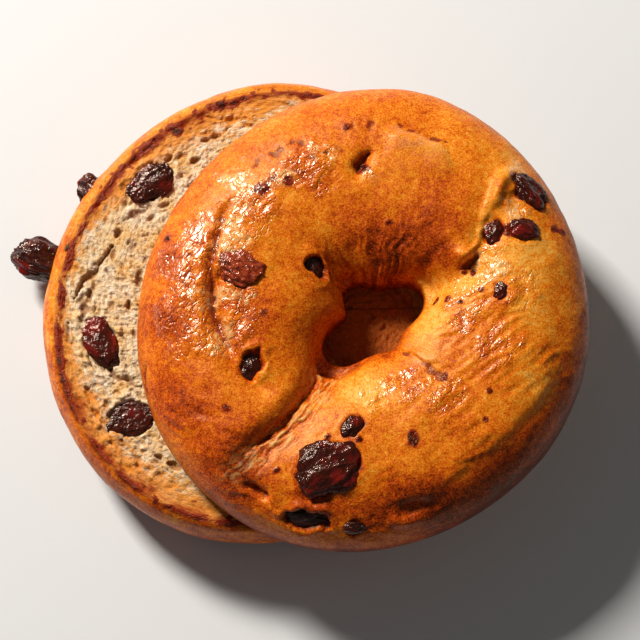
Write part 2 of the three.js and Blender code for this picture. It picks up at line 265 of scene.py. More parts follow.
# %% Lines and spots on the dome
def dome_line(corners, steps=24):
    """A smooth line on the dome through a few plan corners: cubics whose slope at a corner is half the way
    from the corner before it to the one after."""
    knots = dome_at(corners)[0]
    knots = np.vstack((2 * knots[:1] - knots[1:2], knots, 2 * knots[-1:] - knots[-2:-1]))
    share = np.linspace(0, len(corners) - 1, steps)
    first = np.minimum(share.astype(int), len(corners) - 2)
    t = (share - first)[:, None]
    a, b, c, d = (knots[first + offset] for offset in range(4))
    return 0.5 * (2 * b + (c - a) * t + (2 * a - 5 * b + 4 * c - d) * t ** 2
                  + (3 * b - a - 3 * c + d) * t ** 3)


def line_field(points, path):
    """Signed distance (left positive, seen from above) and share along, at the nearest place of a path."""
    best = np.full(points.shape[:-1], np.inf)
    signed = np.zeros_like(best)
    share = np.zeros_like(best)
    for number, (start, end) in enumerate(zip(path[:-1], path[1:])):
        step = end - start
        along = np.clip(((points - start) @ step) / (step @ step), 0, 1)
        aside = points - start - along[..., None] * step
        distance = np.linalg.norm(aside, axis=-1)
        nearer = distance < best
        side = np.sign(step[0] * aside[..., 1] - step[1] * aside[..., 0])
        best = np.where(nearer, distance, best)
        signed = np.where(nearer, distance * side, signed)
        share = np.where(nearer, (number + along) / (len(path) - 1), share)
    return signed, share


def run_out(share, fade):
    """1 along a line and 0 at its ends, reached over the two shares in fade."""
    return smooth(share, 0, fade[0]) * (1 - smooth(share, 1 - fade[1], 1))


def spot_field(points, at, size, heading):
    """How far out a place lies from a spot on the dome, 0 at its middle and 1 at its oval edge."""
    away = points - dome_at(at)[0]
    angle = math.radians(heading)
    along = away[..., 0] * math.cos(angle) + away[..., 1] * math.sin(angle)
    aside = np.hypot(away[..., 1] * math.cos(angle) - away[..., 0] * math.sin(angle), away[..., 2])
    return np.hypot(2 * along / size[0], 2 * aside / size[1])


print("a line of three points, mm long:", np.ptp(dome_line([(20, 30), (25, 30), (30, 30)])[:, 0]).round(1))

# %% [markdown]
# The creases are where the rope of dough was rolled, joined and pinched. Each has its corners, a depth,
# the widths of its left and right banks, and how it runs out at both ends. Unequal banks make one side
# steeper, as where the left lobe laps over the lower one. A dent is a broad oval, and a negative depth
# is a swelling.

# %% Main creases and dents
creases = {
    "overlap seam": (((-8.0, -9.5), (-11.8, -17.2), (-18.0, -26.5), (-27.7, -34.6), (-36.0, -41.5)),
                     4.4, (5.8, 2.5), (0.02, 0.45)),
    "pale seam": (((14.5, 5.0), (20.8, 7.1), (25.3, 9.1), (27.4, 14.6), (31.2, 27.1), (36.0, 37.5)),
                  2.3, (4.4, 3.6), (0.02, 0.4)),
    "left fold": (((-29.7, 10.3), (-34.0, 6.5), (-34.4, 0), (-32.4, -8.0), (-25.5, -17.5), (-18.6, -21.8)),
                  1.8, (1.8, 2.6), (0.2, 0.25)),
    "hole notch": (((-2.2, 6.0), (-5.4, 9.2), (-8.0, 13.4), (-8.8, 18.0)), 1.6, (1.8, 1.8), (0.05, 0.6)),
    "top slit": (((2.3, 38.4), (-0.5, 33.8), (-2.9, 29.8)), 1.1, (1.4, 2.8), (0.35, 0.35)),
    "low slit": (((-27.5, -41.0), (-24.6, -43.0), (-21.5, -44.8)), 1.4, (1.4, 1.4), (0.3, 0.3)),
    "seam lip": (((27.2, 19.0), (29.7, 23.7), (31.9, 29.1), (34.0, 36.0)), -1.2, (1.8, 1.8), (0.3, 0.4)),
    "hollow lip": (((-18.2, -46.1), (-12.0, -46.2), (-7.6, -48.6)), -1.1, (1.6, 1.6), (0.3, 0.3)),
    "right lip": (((4.5, -48.2), (9.0, -49.4), (15.0, -47.6)), -1.0, (1.6, 1.6), (0.3, 0.3)),
    "skin arc": (((3.9, 42.3), (10.2, 40.4), (17.5, 37.0), (21.5, 30.5)), -0.9, (1.2, 4.0), (0.25, 0.3)),
}
dents = (
    ((24.6, 9.8), (5, 4), 20, 1.0),
    ((35.1, 25.7), (7, 4), -40, 0.6),
    ((-10.7, -44.5), (8, 4), 0, 1.6),
    ((11.8, -46.6), (9, 4), 8, 1.8),
    ((23.3, 12.6), (5, 4), 30, -1.2),
)


def main_relief(points):
    """The creases and dents that give the crust its form, as a height along the normal: each crease is
    -depth * exp(-(distance / width)^1.5), run out at its ends, and each dent -depth * exp(-q^2)."""
    height = np.zeros(points.shape[:-1])
    for corners, depth, width, fade in creases.values():
        signed, share = line_field(points, dome_line(corners))
        wide = np.where(signed > 0, width[0], width[1])
        height -= depth * run_out(share, fade) * np.exp(-(np.abs(signed) / wide) ** 1.5)
    for at, size, heading, depth in dents:
        height -= depth * np.exp(-spot_field(points, at, size, heading) ** 2)
    return height * smooth(points[..., 2], 0.5, 5)


print("main relief at the seam, mm:", np.round(main_relief(dome_at([(-14.0, -21.0)])[0]), 2))

# %% [markdown]
# The raisins are listed before the crust is made, because the dough closes round them. Each has its
# place in plan, its length and width, its heading, and how far it stands up and reaches down. Some are
# sunk in a hollow that a bubble left, and two stick out of the side at a level of their own. Small torn
# bits of raisin, listed by place and radius, only colour and lift the skin.

# %% Where the raisins lie
top_raisins = {
    "raisin_top_large": dict(at=(-8.2, -38.0), size=(14.2, 11.6), heading=25, cap=1.5, root=4.6),
    "raisin_top_small": dict(at=(-3.0, -28.4), size=(5.6, 4.4), heading=70, cap=1.1, root=2.6),
    "raisin_low_hollow": dict(at=(-13.7, -49.4), size=(9.2, 5), heading=0, cap=1.4, root=2.6,
                              sunk=2, hollow=(10.4, 5.4, 2.2)),
    "raisin_low": dict(at=(-2.2, -51.0), size=(4.8, 3.2), heading=5, cap=0.8, root=2.2),
    "raisin_fold_hollow": dict(at=(-25.8, -13.4), size=(6.6, 5.4), heading=75, cap=1.3, root=2.6,
                               sunk=2.2, hollow=(7, 4.8, 2.4)),
    "raisin_under_skin": dict(at=(-28.7, 9.1), size=(9.8, 7.8), heading=-20, cap=0.9, root=3.4),
    "raisin_hole_side": dict(at=(-10.8, 9.9), size=(6.6, 4.8), heading=-60, cap=1.2, root=2.6,
                             sunk=1.8, hollow=(6.6, 4.6, 2.2)),
    "raisin_right_long": dict(at=(39.1, 28.5), size=(9.6, 6), heading=-42, cap=1.4, root=3.2),
    "raisin_right_oval": dict(at=(30.6, 17.9), size=(5.8, 4.6), heading=80, cap=0.9, root=2.6),
    "raisin_right_wrinkled": dict(at=(37.4, 18.5), size=(6.4, 5), heading=-8, cap=1.1, root=2.8),
    "raisin_right_small": dict(at=(31.6, 3.3), size=(4.6, 3.2), heading=75, cap=0.8, root=2.2),
}
bottom_raisins = {
    "raisin_cut_upper": dict(at=(-28.5, 30.2), size=(11.4, 7.2), heading=36, cap=0.8, root=4),
    "raisin_cut_left": dict(at=(-39.8, -9.4), size=(12.2, 7.4), heading=-70, cap=0.8, root=4),
    "raisin_cut_lower": dict(at=(-32.4, -27.6), size=(11, 8.2), heading=8, cap=0.35, root=4, sunk=0.45),
    "raisin_side_upper": dict(at=(-42.6, 30.2), size=(9.2, 7.8), heading=142, cap=3.5, root=3.5,
                              level=13.4),
    "raisin_side_left": dict(at=(-56.3, 14.0), size=(13.8, 10), heading=166, cap=4.2, root=4.2,
                             level=8.6),
}
raisin_bits = (
    ((16.2, 2.9), 1.2), ((19.1, 2.7), 0.9), ((22.2, 1.4), 0.8), ((27.1, 4.0), 0.7), ((11.0, -31.0), 1.7),
    ((18.4, -17.1), 1.3), ((28.8, -20.0), 0.8), ((14.9, -24.7), 0.7), ((27.6, -26.7), 0.8),
    ((-3.8, 43.5), 1.1), ((6.0, 20.3), 0.9), ((-23.2, -1.3), 0.9), ((-23.8, 28.2), 1.6),
    ((-17.9, 30.0), 1.3), ((-31.8, -23.9), 1.0), ((-20.1, -38.2), 0.9), ((44.9, 19.3), 1.2),
    ((46.7, 18.9), 0.9), ((-50.7, -18.2), 0.8), ((-46.4, 17.6), 1.0), ((-8.6, -30.4), 0.6),
    ((-1.5, -31.4), 0.9), ((34.0, 18.3), 1.7), ((24.8, 8.6), 0.9), ((22.6, 8.8), 0.7), ((-0.7, 33.6), 1.9),
)
print("raisins:", len(top_raisins) + len(bottom_raisins), "and", len(raisin_bits), "bits")

# %% [markdown]
# Dough closes round a raisin as it bakes: it sinks to a groove at the raisin's edge and swells a little
# outside it. A raisin in a hollow lies in a bowl with a ragged edge instead. The shade in the groove and
# in the bowl is painted into the crust's colour.

# %% How the crust seats a raisin
def raisin_frame(raisin):
    """Where a raisin lies: its middle, and its length, width and upward directions as rows."""
    at = np.array(raisin["at"], float)
    if "level" in raisin:
        middle, up = np.append(at, raisin["level"]), np.array((0.0, 0.0, 1.0))
    elif raisin in bottom_raisins.values():
        middle, up = np.append(at, bottom_height - raisin.get("sunk", 0)), np.array((0.0, 0.0, 1.0))
    else:
        middle, up = dome_at(at)
        middle = middle + up * (float(main_relief(middle)) - raisin.get("sunk", 0))
    angle = math.radians(raisin["heading"])
    side = np.cross(up, (math.cos(angle), math.sin(angle), 0))
    side = side / np.linalg.norm(side)
    return middle, np.array((np.cross(side, up), side, up))


def raisin_offset(points, raisin, size=None):
    """Distance in mm outside a raisin's oval, about zero at its edge, measured in its own plane."""
    middle, axes = raisin_frame(raisin)
    size = size or raisin["size"]
    local = (points - middle) @ axes.T
    share = np.hypot(2 * local[..., 0] / size[0], 2 * local[..., 1] / size[1])
    near = np.abs(local[..., 2]) < 5
    return np.where(near, (share - 1) * min(size) / 2, 50.0)


def seat_relief(points):
    """The seat of each raisin, with a mask of painted shade: a groove at the edge and a lip of exp(-q^2)
    outside it, or for a hollow a bowl that sinks as the root of the way in. The shade fills the bowl and
    lies in a thin ring at the groove."""
    height = np.zeros(points.shape[:-1])
    shade = np.zeros_like(height)
    ragged = 1.3 * lumps(points, 3.6, 41) + 0.6 * lumps(points, 1.6, 42)
    for name, raisin in top_raisins.items():
        rim = raisin_offset(points, raisin, raisin["hollow"][:2] if "hollow" in raisin else None) + ragged
        if "hollow" in raisin:
            height -= 1.15 * raisin["hollow"][2] * np.sqrt(np.clip(-rim / 2.0, 0, 1))
            height += 0.3 * np.exp(-((rim - 0.8) / 0.8) ** 2)
            # Painted shade over the whole bowl of a hollow.
            shade = np.maximum(shade, 1 - smooth(rim, -0.7, 0.2))
        else:
            open_edge = 0.2 if name == "raisin_under_skin" else 1.0
            height -= 0.55 * open_edge * (1 - smooth(rim, -0.9, 0.2))
            height += 0.12 * np.exp(-((rim - 0.9) / 0.7) ** 2)
            # Painted shade in a thin ring round the raisin's edge.
            shade = np.maximum(shade, 0.5 * open_edge * np.exp(-np.clip(rim, 0, 9) / 0.3))
    return height, shade


print("middle of the large raisin, mm:", raisin_frame(top_raisins["raisin_top_large"])[0].round(1))

# %% [markdown]
# The crust's finer relief. A baked skin is tight where it swelled and crinkled where it shrank back. The
# glaze gathers on the left shoulder, papery skin lifts along the fold, and long shallow folds cross the
# lower lobes. Each kind keeps to its own places, listed here as spots with a radius, or as lines. A
# step has its corners, rise and reach. A fine line has its corners, depth, half width, how red it is and
# how far it wanders; that red is burnt red, and also painted shadow along the lobe edge under the
# lapping lobe and painted shade in the slits. A streak has its spots, heading, length and width, and rise.

# %% Places of the finer relief
glossy_spots = (
    ((-38, 12), 14), ((-41, -4), 12), ((-27, 24), 10), ((-33, -6), 9), ((-14, 33), 9), ((-31, 12), 8),
    ((-32, 1), 7), ((4, -20), 7), ((11, -18), 6), ((24, 1), 8), ((34, 4), 7), ((31, -9), 7),
    ((19, -21), 7), ((28, 13), 6),
)
skin_spots = (
    ((-28.5, 29), 6.5), ((-30.5, 21.5), 5.5), ((-31.8, 12.8), 3), ((-33.0, 3.5), 3.4), ((-35.6, 2), 4.5),
    ((-34, -8), 4), ((-31, 16), 4.5), ((-27.1, 2.7), 2.4), ((-32.4, -3), 3.2), ((-20, 31.5), 4.5),
    ((-10.5, 37), 4), ((1.0, 31.2), 2.6), ((31, 9.5), 4), ((36, 33), 4), ((35.8, 24.0), 4),
    ((27.4, 9.0), 4.5),
)
pale_steps = {
    "skin edge": (((7.1, -7.6), (9.5, -9.2), (12.6, -11.5), (16.4, -13.2), (19.4, -13.3)), 0.55, 3.5),
    "arc edge": (((3.9, 44.3), (7.3, 43.6), (10.2, 42.2), (14.9, 40.5), (18.5, 38.3), (22.1, 31.0)),
                 -0.5, 4.0),
}
fine_lines = {
    "fold line": (((-29.5, 27), (-32.8, 22), (-35.2, 15), (-35.9, 6), (-35.0, -2.4), (-32, -8.5),
                   (-27.9, -12.2)), 1.5, 1.0, 0.85, 0.9),
    # Painted shadow: the red of this line darkens the groove under the lapping left lobe.
    "shadowed lobe edge": (((-8.5, -12.5), (-12.6, -18.5), (-17.5, -25.2), (-23.2, -30.5), (-29.5, -34.0)),
                  1.4, 1.0, 0.5, 0.6),
    "notch": (((21.0, 9.0), (24.5, 11.1), (27.2, 13.0)), 1.2, 0.6, 1.3, 1.1),
    # The slits' red is burnt red and painted shade in their dark holes.
    "slit": (((2.0, 38.2), (0.2, 35.2), (-2.4, 31.6)), 1.5, 0.8, 1.4, 1.7),
    "rim slit": (((-51.0, -11.0), (-51.6, -16.0), (-50.6, -20.5)), 0.8, 0.8, 0.9, 0.6),
    "upper rim slit": (((-52.0, 12.5), (-49.6, 18.5), (-46.8, 22.5)), 0.6, 0.8, 0.9, 0.6),
    "low tear": (((-29.5, -40.5), (-25.5, -42.8), (-21.0, -45.3)), 1.2, 1.0, 0.6, 0.5),
    "seam fill": (((30.6, 23.0), (32.2, 28.0), (34.8, 34.5)), -1.1, 1.8, 0.0, 0.4),
    "first ridge": (((26.0, 16.5), (28.3, 23.0), (31.3, 29.0), (34.5, 35.5)), -0.3, 1.0, 0.0, 0.5),
    "second ridge": (((32.8, 22.5), (34.3, 27.0), (36.8, 31.5)), -0.45, 0.8, 0.0, 0.5),
    "third ridge": (((22.5, 10.8), (26.4, 15.4), (28.6, 20.5)), -0.5, 0.7, 0.0, 0.6),
}
red_patches = (
    ((-27.5, 33.0), (-22.3, 36.3), (-16.9, 38.9), (-11.9, 40.0)),
    ((-28.5, 29.0), (-22.0, 30.0), (-15.0, 32.5), (-9.1, 36.2), (-3.0, 39.5)),
    ((-3.8, 43.5), (-1.0, 44.0), (3.6, 43.4)),
    ((-37.5, 17.0), (-40.5, 10.5), (-41.5, 3.0)),
    ((13.5, -13.0), (17.5, -16.5), (21.5, -17.5)),
)
streaks = {
    "lower right lobe": ((((28, -8), 18), ((20, -27), 15), ((38, -15), 14)), 33, (9.0, 1.7), 0.44),
    "lower left rim": ((((-31, -37), 12), ((-20, -43), 11), ((-41, -27), 9)), -27, (11.0, 1.7), 0.60),
    "bottom rim": ((((4, -47), 13), ((20, -44), 9)), 14, (7.0, 1.5), 0.26),
}
shadow_side = ((8.0, -49.5), (22.0, -38.0), (33.0, -29.5), (42.0, -20.0), (48.5, -6.0))
print("lines:", len(pale_steps) + len(fine_lines) + len(red_patches), "glossy spots:", len(glossy_spots))

# %% [markdown]
# Each kind of fine relief is a function of its own. Narrow lines wander with noise and leave a red trace,
# burnt red that is partly painted shade in the creases. Streaks are ridged noise drawn out one way, with
# painted shade in their troughs. Where the skin slipped over itself there is a step with small red pits
# in front of it.

# %% Lines, streaks and steps of the skin
def near_spots(points, spots, ragged=0.25):
    """1 near any of the listed spots, fading to 0 at its radius, with an edge made ragged by noise."""
    near = np.zeros(points.shape[:-1])
    edge = ragged * lumps(points, 5.0, 14) + 0.6 * ragged * lumps(points, 1.8, 15)
    for at, radius in spots:
        reach = np.linalg.norm(points - dome_at(at)[0], axis=-1) / radius + edge
        near = np.maximum(near, 1 - smooth(reach, 0.45, 1))
    return near


def turned(points, degrees):
    """The places measured along and across a heading in plan."""
    angle = math.radians(degrees)
    x = points[..., 0] * math.cos(angle) + points[..., 1] * math.sin(angle)
    y = points[..., 1] * math.cos(angle) - points[..., 0] * math.sin(angle)
    return np.stack((x, y, points[..., 2]), -1)


def line_relief(points):
    """Narrow lines of -depth * exp(-(distance / half width)^2) that wander with noise, and the red they
    leave: burnt red, and painted shade along the lobe edge and in the slits."""
    height = np.zeros(points.shape[:-1])
    red = np.zeros_like(height)
    for number, (corners, depth, wide, redness, wander) in enumerate(fine_lines.values()):
        signed, share = line_field(points, dome_line(corners))
        signed = signed + wander * lumps(points, 3.2, 120 + number) + 0.3 * lumps(points, 1.3, 130 + number)
        line = run_out(share, (0.25, 0.25)) * np.exp(-(signed / (wide * (0.8 + 0.4 * share))) ** 2)
        height -= depth * line
        red = np.maximum(red, redness * line)
    for corners in red_patches:
        signed, share = line_field(points, dome_line(corners))
        patch = np.exp(-((signed + 1.2 * lumps(points, 3.0, 16)) / 1.5) ** 2) * run_out(share, (0.2, 0.2))
        patch = patch * smooth(lumps(points, 2.4, 17), -0.2, 0.12)
        height -= 0.22 * patch
        red = np.maximum(red, 0.95 * patch)
    return height, red


def streak_relief(points):
    """Long shallow folds, each kind running one way: ridged noise stretched along that way, and a mask of
    painted shade in their troughs.
    """
    height = np.zeros(points.shape[:-1])
    trough_shade = np.zeros_like(height)
    for number, (spots, heading, size, rise) in enumerate(streaks.values()):
        bent = turned(points, heading) + 1.5 * lumps(points, 9, 160 + number)[..., None]
        crest = folds(bent, (1.5 * size[0], 1.3 * size[1], 9.0), 140 + number)
        crest = 0.75 * crest + 0.25 * folds(bent, (size[0], size[1] / 1.6, 6.0), 150 + number)
        area = near_spots(points, spots) * (0.3 + 0.7 * smooth(lumps(points, 9, 170 + number), -0.3, 0.2))
        height += rise * area * (crest - 0.35)
        trough_shade = np.maximum(trough_shade, area * (1 - crest) * rise / 1.2)
    return height, trough_shade


def step_relief(points):
    """Steps of the skin, rise * exp(-distance / reach) behind each edge, and a ledge over the shadow side.
    With them come a mask of the lifted skin and one of the pits in front of it."""
    height = np.zeros(points.shape[:-1])
    lifted = np.zeros_like(height)
    pits = np.zeros_like(height)
    for corners, rise, reach in pale_steps.values():
        signed, share = line_field(points, dome_line(corners))
        raised = np.sign(rise) * (signed + 0.8 * lumps(points, 3.5, 20))
        step = smooth(raised, -0.5, 0.5) * np.exp(-np.clip(raised, 0, None) / reach)
        step = step * run_out(share, (0.4, 0.3))
        height += abs(rise) * step
        lifted = np.maximum(lifted, step)
        front = np.exp(-((raised + 0.9) / 0.8) ** 2) * smooth(lumps(points, 1.8, 23), -0.05, 0.3)
        pits = np.maximum(pits, front * run_out(share, (0.2, 0.2)))
    ledge, share = line_field(points, dome_line(shadow_side))
    ledge = ledge + 0.8 * lumps(points, 5, 26)
    fall = np.exp(-np.clip(ledge, 0, None) / 7) * run_out(share, (0.3, 0.3))
    height += 0.7 * smooth(ledge, -1.6, 1.6) * fall
    return height, lifted, pits


print("step at the skin edge, mm:", step_relief(dome_at([(12.0, -10.5)])[0])[0].round(2))

# %% [markdown]
# Three more kinds. The floor of the overlap seam is filled by torn strands of dough. Glaze swells and
# crinkles the way round the ring, so its noise reads ringwise places: the way round and the way across,
# in mm. They start at a turn where no glaze shows the cut. Pleats run down into the hole. All the kinds
# are then added up, and their masks are kept for the colours.

# %% Seam, glaze and pleats, and the sum of all
glaze_start, glaze_radius, glaze_width = math.radians(75), 42, 24


def seam_relief(points):
    """The seam's floor raised by exp(-q^2), and ridged noise across its lower bank, with the bank's mask."""
    seam, share = line_field(points, dome_line(creases["overlap seam"][0]))
    seam = seam + 0.9 * lumps(points, 4, 27)
    bank = np.exp(-(np.abs(seam - 1.8) / 3.2) ** 3) * run_out(share, (0.03, 0.35))
    strands = folds(np.stack((share * 7 + 0.4 * lumps(points, 3, 24), seam / 1.3, share * 0), -1), 1.0, 11)
    strands = 0.6 * strands + 0.4 * folds(np.stack((share * 16, seam / 0.7, share * 0), -1), 1.0, 25)
    floor_fill = 1.1 * np.exp(-((seam - 0.4) / 2.0) ** 2) * run_out(share, (0.1, 0.45))
    return floor_fill + 0.70 * bank * (strands - 0.4), bank, strands


def glaze_relief(points, ringwise):
    """Where the crust is glazed, and its swellings and crinkles. On the right side the glaze is broken up
    by noise drawn out along the wrinkles there."""
    gloss = near_spots(points, glossy_spots, 0.4)
    broken = smooth(lumps(turned(points, 33), (11, 2.2, 6), 28), -0.25, 0.15)
    gloss = gloss * np.where(points[..., 0] > 0, 0.25 + 0.75 * broken, 1.0)
    swell = 0.42 * lumps(ringwise, (9.0, 3.0, 5), 6) + 0.20 * folds(ringwise, (6.0, 1.7, 5), 8)
    return gloss * (swell - 0.07), gloss


def pleat_relief(points, turn, across):
    """Folds that run down the hole's upper wall: ridged noise of the turn, and a mask of painted shade in
    the hollows between the folds.
    """
    flank = smooth(-across, 0.25, 0.75) * smooth(np.cos(turn - math.radians(88)), 0.3, 0.75)
    pleats = folds(np.stack((turn * 6 + 0.6 * lumps(points, 4, 19), across * 0.6, turn * 0), -1), 1.0, 9)
    return 0.40 * flank * (pleats - 0.4), 0.9 * flank * np.clip(0.75 - pleats, 0, 1)


def bit_relief(points):
    """The torn bits of raisin: wrinkles on each, and a mask with a ragged edge."""
    bits = np.zeros(points.shape[:-1])
    for number, (at, radius) in enumerate(raisin_bits):
        reach = np.linalg.norm(points - dome_at(at)[0], axis=-1) / radius
        bits = np.maximum(bits, 1 - smooth(reach + 0.8 * lumps(points, 2.2, 50 + number), 0.45, 1.25))
    return bits * (0.3 * folds(points, 1.1, 13) - 0.12), bits


def fine_relief(points, turn, across):
    """The sum of all the finer relief, the masks that the crust's material reads, and what the relief adds
    to the brown tone, which includes painted shade in the troughs and between the torn strands."""
    round_way = (turn - glaze_start) % (2 * math.pi) * glaze_radius
    ringwise = np.stack((round_way, across * glaze_width, 0 * turn), -1)
    ringwise = ringwise + 1.2 * lumps(points, 3.5, 18)[..., None]
    skin = near_spots(points, skin_spots, 0.6)
    glazed, gloss = glaze_relief(points, ringwise)
    pleated, pleat_shade = pleat_relief(points, turn, across)
    folded, trough_shade = streak_relief(points)
    lines, red = line_relief(points)
    seam, bank, strands = seam_relief(points)
    stepped, lifted, pits = step_relief(points)
    wrinkled, bits = bit_relief(points)
    height = 0.45 * lumps(points, 13, 3) + 0.18 * lumps(points, 4.5, 4) + 0.06 * lumps(points, 1.9, 5)
    height += skin * (0.24 * folds(points, 1.6, 7) - 0.05)
    height += glazed + pleated + folded + lines + seam + stepped + wrinkled
    masks = {"gloss": np.maximum(gloss, 0.8 * skin), "skin": skin, "red": np.maximum(red, pits),
             "fibre": bank * smooth(strands, 0.45, 0.85), "lifted": lifted, "bits": bits,
             "ringwise": ringwise * MM}
    pale_seam, _ = line_field(points, dome_line(creases["pale seam"][0]))
    # Painted shade in the troughs of the streaks and pleats and between the torn strands of the seam.
    crease_shade = np.maximum(np.maximum(trough_shade, pleat_shade), 0.8 * bank * (1 - strands))
    relief_tone_and_shade = 0.26 * crease_shade + 0.08 * bank + 0.06 * masks["gloss"]
    return height, masks, relief_tone_and_shade - 0.20 * np.exp(-(pale_seam / 4.6) ** 2) - 0.12 * lifted


print("glaze runs to, mm:", round(2 * math.pi * glaze_radius))

# %% [markdown]
# The top half's grid. The section goes up the short outer wall from the cut edge, over the dome, down
# the hole's wall and back along the flat underside. The rows of the dome are set by length along it, so
# the faces stay nearly square, and two hundred thousand triangles are enough for folds of half a
# millimetre.

# %% Grid of the top half
def top_section(turns):
    """Points, turns, shares across and a mask of the underside, as arrays of turns by rows."""
    wall_rows, dome_rows, under_rows = 7, 112, 12
    angle = np.linspace(0, math.pi, 2001)
    shape = np.stack((half_width * np.sign(np.cos(angle)) * np.abs(np.cos(angle)) ** (2 / squareness),
                      (top_height - top_widest) * np.sin(angle) ** (2 / squareness)), -1)
    dome = np.interp(even_steps(shape, dome_rows), np.linspace(0, 1, 2001), shape[:, 0] / half_width)
    turn = np.linspace(0, 2 * math.pi, turns, endpoint=False)[:, None]
    outer, hole = ring_edges(turn)
    width = outer - hole
    rise = np.linspace(0, 1, wall_rows, endpoint=False)[None]
    outer_wall = 1 - 2 * outer_tuck * (1 - rise) ** 2 / width
    hole_wall = -(1 - 2 * hole_tuck * (1 - rise) ** 2 / width)[:, ::-1]
    inward = np.linspace(0, 1, under_rows + 2)[None, 1:-1]
    under = hole_wall[:, -1:] + (outer_wall[:, :1] - hole_wall[:, -1:]) * inward
    across = np.concatenate((outer_wall, np.broadcast_to(dome, (turns, dome_rows)), hole_wall, under), 1)
    points = dome_point(np.broadcast_to(turn, across.shape), np.clip(across, -1, 1))
    points[:, :wall_rows, 2] = top_widest * rise
    points[:, wall_rows + dome_rows:-under_rows, 2] = top_widest * rise[:, ::-1]
    points[:, -under_rows:, 2] = 0
    underside = np.zeros(across.shape)
    underside[:, -under_rows:] = 1
    return points, np.broadcast_to(turn, across.shape), across, underside


points, turn, across, underside = top_section(720)
print("top grid:", points.shape[:2])

# %% [markdown]
# The browning mask is partly what an oven does and partly painted shade. The oven makes it dark
# where the crust stands up to the heat and pale in the seams and under lips. Painted shade darkens it
# low down at the sides, together with oven browning there, beyond the shadow-side line on the lower
# right that faces away from the lamp, in a few of the spots, and in the raisins' grooves and hollows.
# It is a middling brown plus slow noise, the listed spots (a place, a radius and a change) and what
# the relief adds, with painted shade in its troughs. The relief is then laid on along the normals, and
# the skin becomes a mesh.

# %% Make the top half
# The spots change the brown tone. Those at (7.7, 10.6) on the upper lobe's inner wall and at (11, -45), (3,
# -49) and (17, -47) on the bottom rim are painted shade where the crust faces away from the lamp; the others
# are browning and paler dough.
oven_and_shade_spots = (
    ((-35.5, -30), 17, 0.20), ((-25, -3), 12, 0.20), ((-45, -20), 12, 0.20), ((-24, 36), 11, 0.10),
    ((-48, -4), 12, 0.22), ((-46, 12), 10, 0.18), ((15, -3), 9, -0.34), ((24, 4), 7, -0.14),
    ((7.7, 10.6), 10, 0.26), ((0.5, -18.2), 10, -0.36), ((10, -27), 10, -0.06), ((25.7, -36), 13, 0.05),
    ((11, -45), 12, 0.26), ((40, 0), 11, -0.26), ((-30, -41), 13, 0.26), ((-12, -47), 10, 0.30),
    ((36, 22), 9, -0.12), ((15, 27), 11, 0.05), ((-18, 20), 9, 0.06), ((2, 17), 12, 0.22),
    ((14, 17), 11, 0.20), ((18, 12), 7, 0.26), ((40, 13), 12, -0.26), ((40, -17), 10, -0.20),
    ((3, -49), 11, 0.22), ((17, -47), 12, 0.24), ((-5, 36), 7, -0.16), ((18, 36), 8, -0.14),
    ((33, 27.5), 5, 0.16),
)


def top_browning_and_shade(points, turn):
    """How brown the crust is before its finer relief is counted, with painted shade low down and on the
    side away from the lamp: 0 pale, 1 nearly black.
    """
    tone = 0.43 + 0.15 * lumps(points, 15, 60) + 0.10 * lumps(points, 5, 61)
    for at, radius, change in oven_and_shade_spots:
        tone += change * (1 - smooth(np.linalg.norm(points - dome_at(at)[0], axis=-1) / radius, 0.1, 1))
    # Painted shade beyond the shadow-side line, on the lower right that faces away from the lamp.
    beyond, along = line_field(points, dome_line(shadow_side))
    tone += 0.32 * smooth(-beyond + 0.8 * lumps(points, 8, 62), -2, 7) * smooth(along, 0.0, 0.25)
    # Darker low down at the sides, partly oven browning and partly painted shade, which is deepest on the
    # side facing away from the lamp.
    away = smooth(np.cos(turn + math.radians(62)), -0.1, 0.7)
    low_down = 1 - smooth(points[..., 2], 1.0, 10 + 4 * away)
    return tone + (0.48 + 0.18 * away) * low_down * (0.85 + 0.4 * lumps(points, 6, 63))


fine, masks, relief_tone_and_shade = fine_relief(points, turn, across)
seat, hollow_shade = seat_relief(points)
calm = smooth(points[..., 2], 0.2, 3.0)
low_side = 1 - smooth(points[..., 2], 3, 12)
height = main_relief(points) + calm * (fine * (1 - 0.6 * low_side) - 0.35 * low_side + seat)
crumb_under = 0.5 * bubbles(points[..., 0], points[..., 1], (2.4, 1.8), (0.9, 0.6), 0.6, 21) * underside
skin = points + grid_normals(points) * (height * (1 - underside))[..., None]
skin[..., 2] += crumb_under
# The brown mask also takes painted shade: in the raisins' grooves and hollows, and in the relief's troughs.
masks["brown"] = np.clip(top_browning_and_shade(points, turn) + 0.9 * hollow_shade + relief_tone_and_shade, 0, 1)
masks["scorch"] = 0.7 * np.exp(-np.abs(points[..., 2]) / 0.6) * (1 - underside)
# The pore mask darkens the crumb in the bubbles of the underside as painted shade.
masks["pore"] = 2 * crumb_under
turns, rows = points.shape[:2]
looks = (underside + np.roll(underside, -1, 1) > 0).reshape(-1).astype(int)
top_half = fill_mesh("top_crust", skin + top_centre, ring_faces(turns, rows), masks, looks)
print("top half:", 2 * turns * rows, "triangles, relief", height.min().round(2), "to", height.max().round(2))

# %% [markdown]
# The bottom half's grid. Its section goes up the rounded outer wall, in over the cut face, down the
# hole's wall and back along the base. Turns and rows lie closest in the crescent of crumb that shows,
# and coarse where the top half covers it.

# %% Grid of the bottom half
bottom_widest, base_inset, bottom_tuck = 13.5, (9.0, 5.0), (3.0, 1.5)


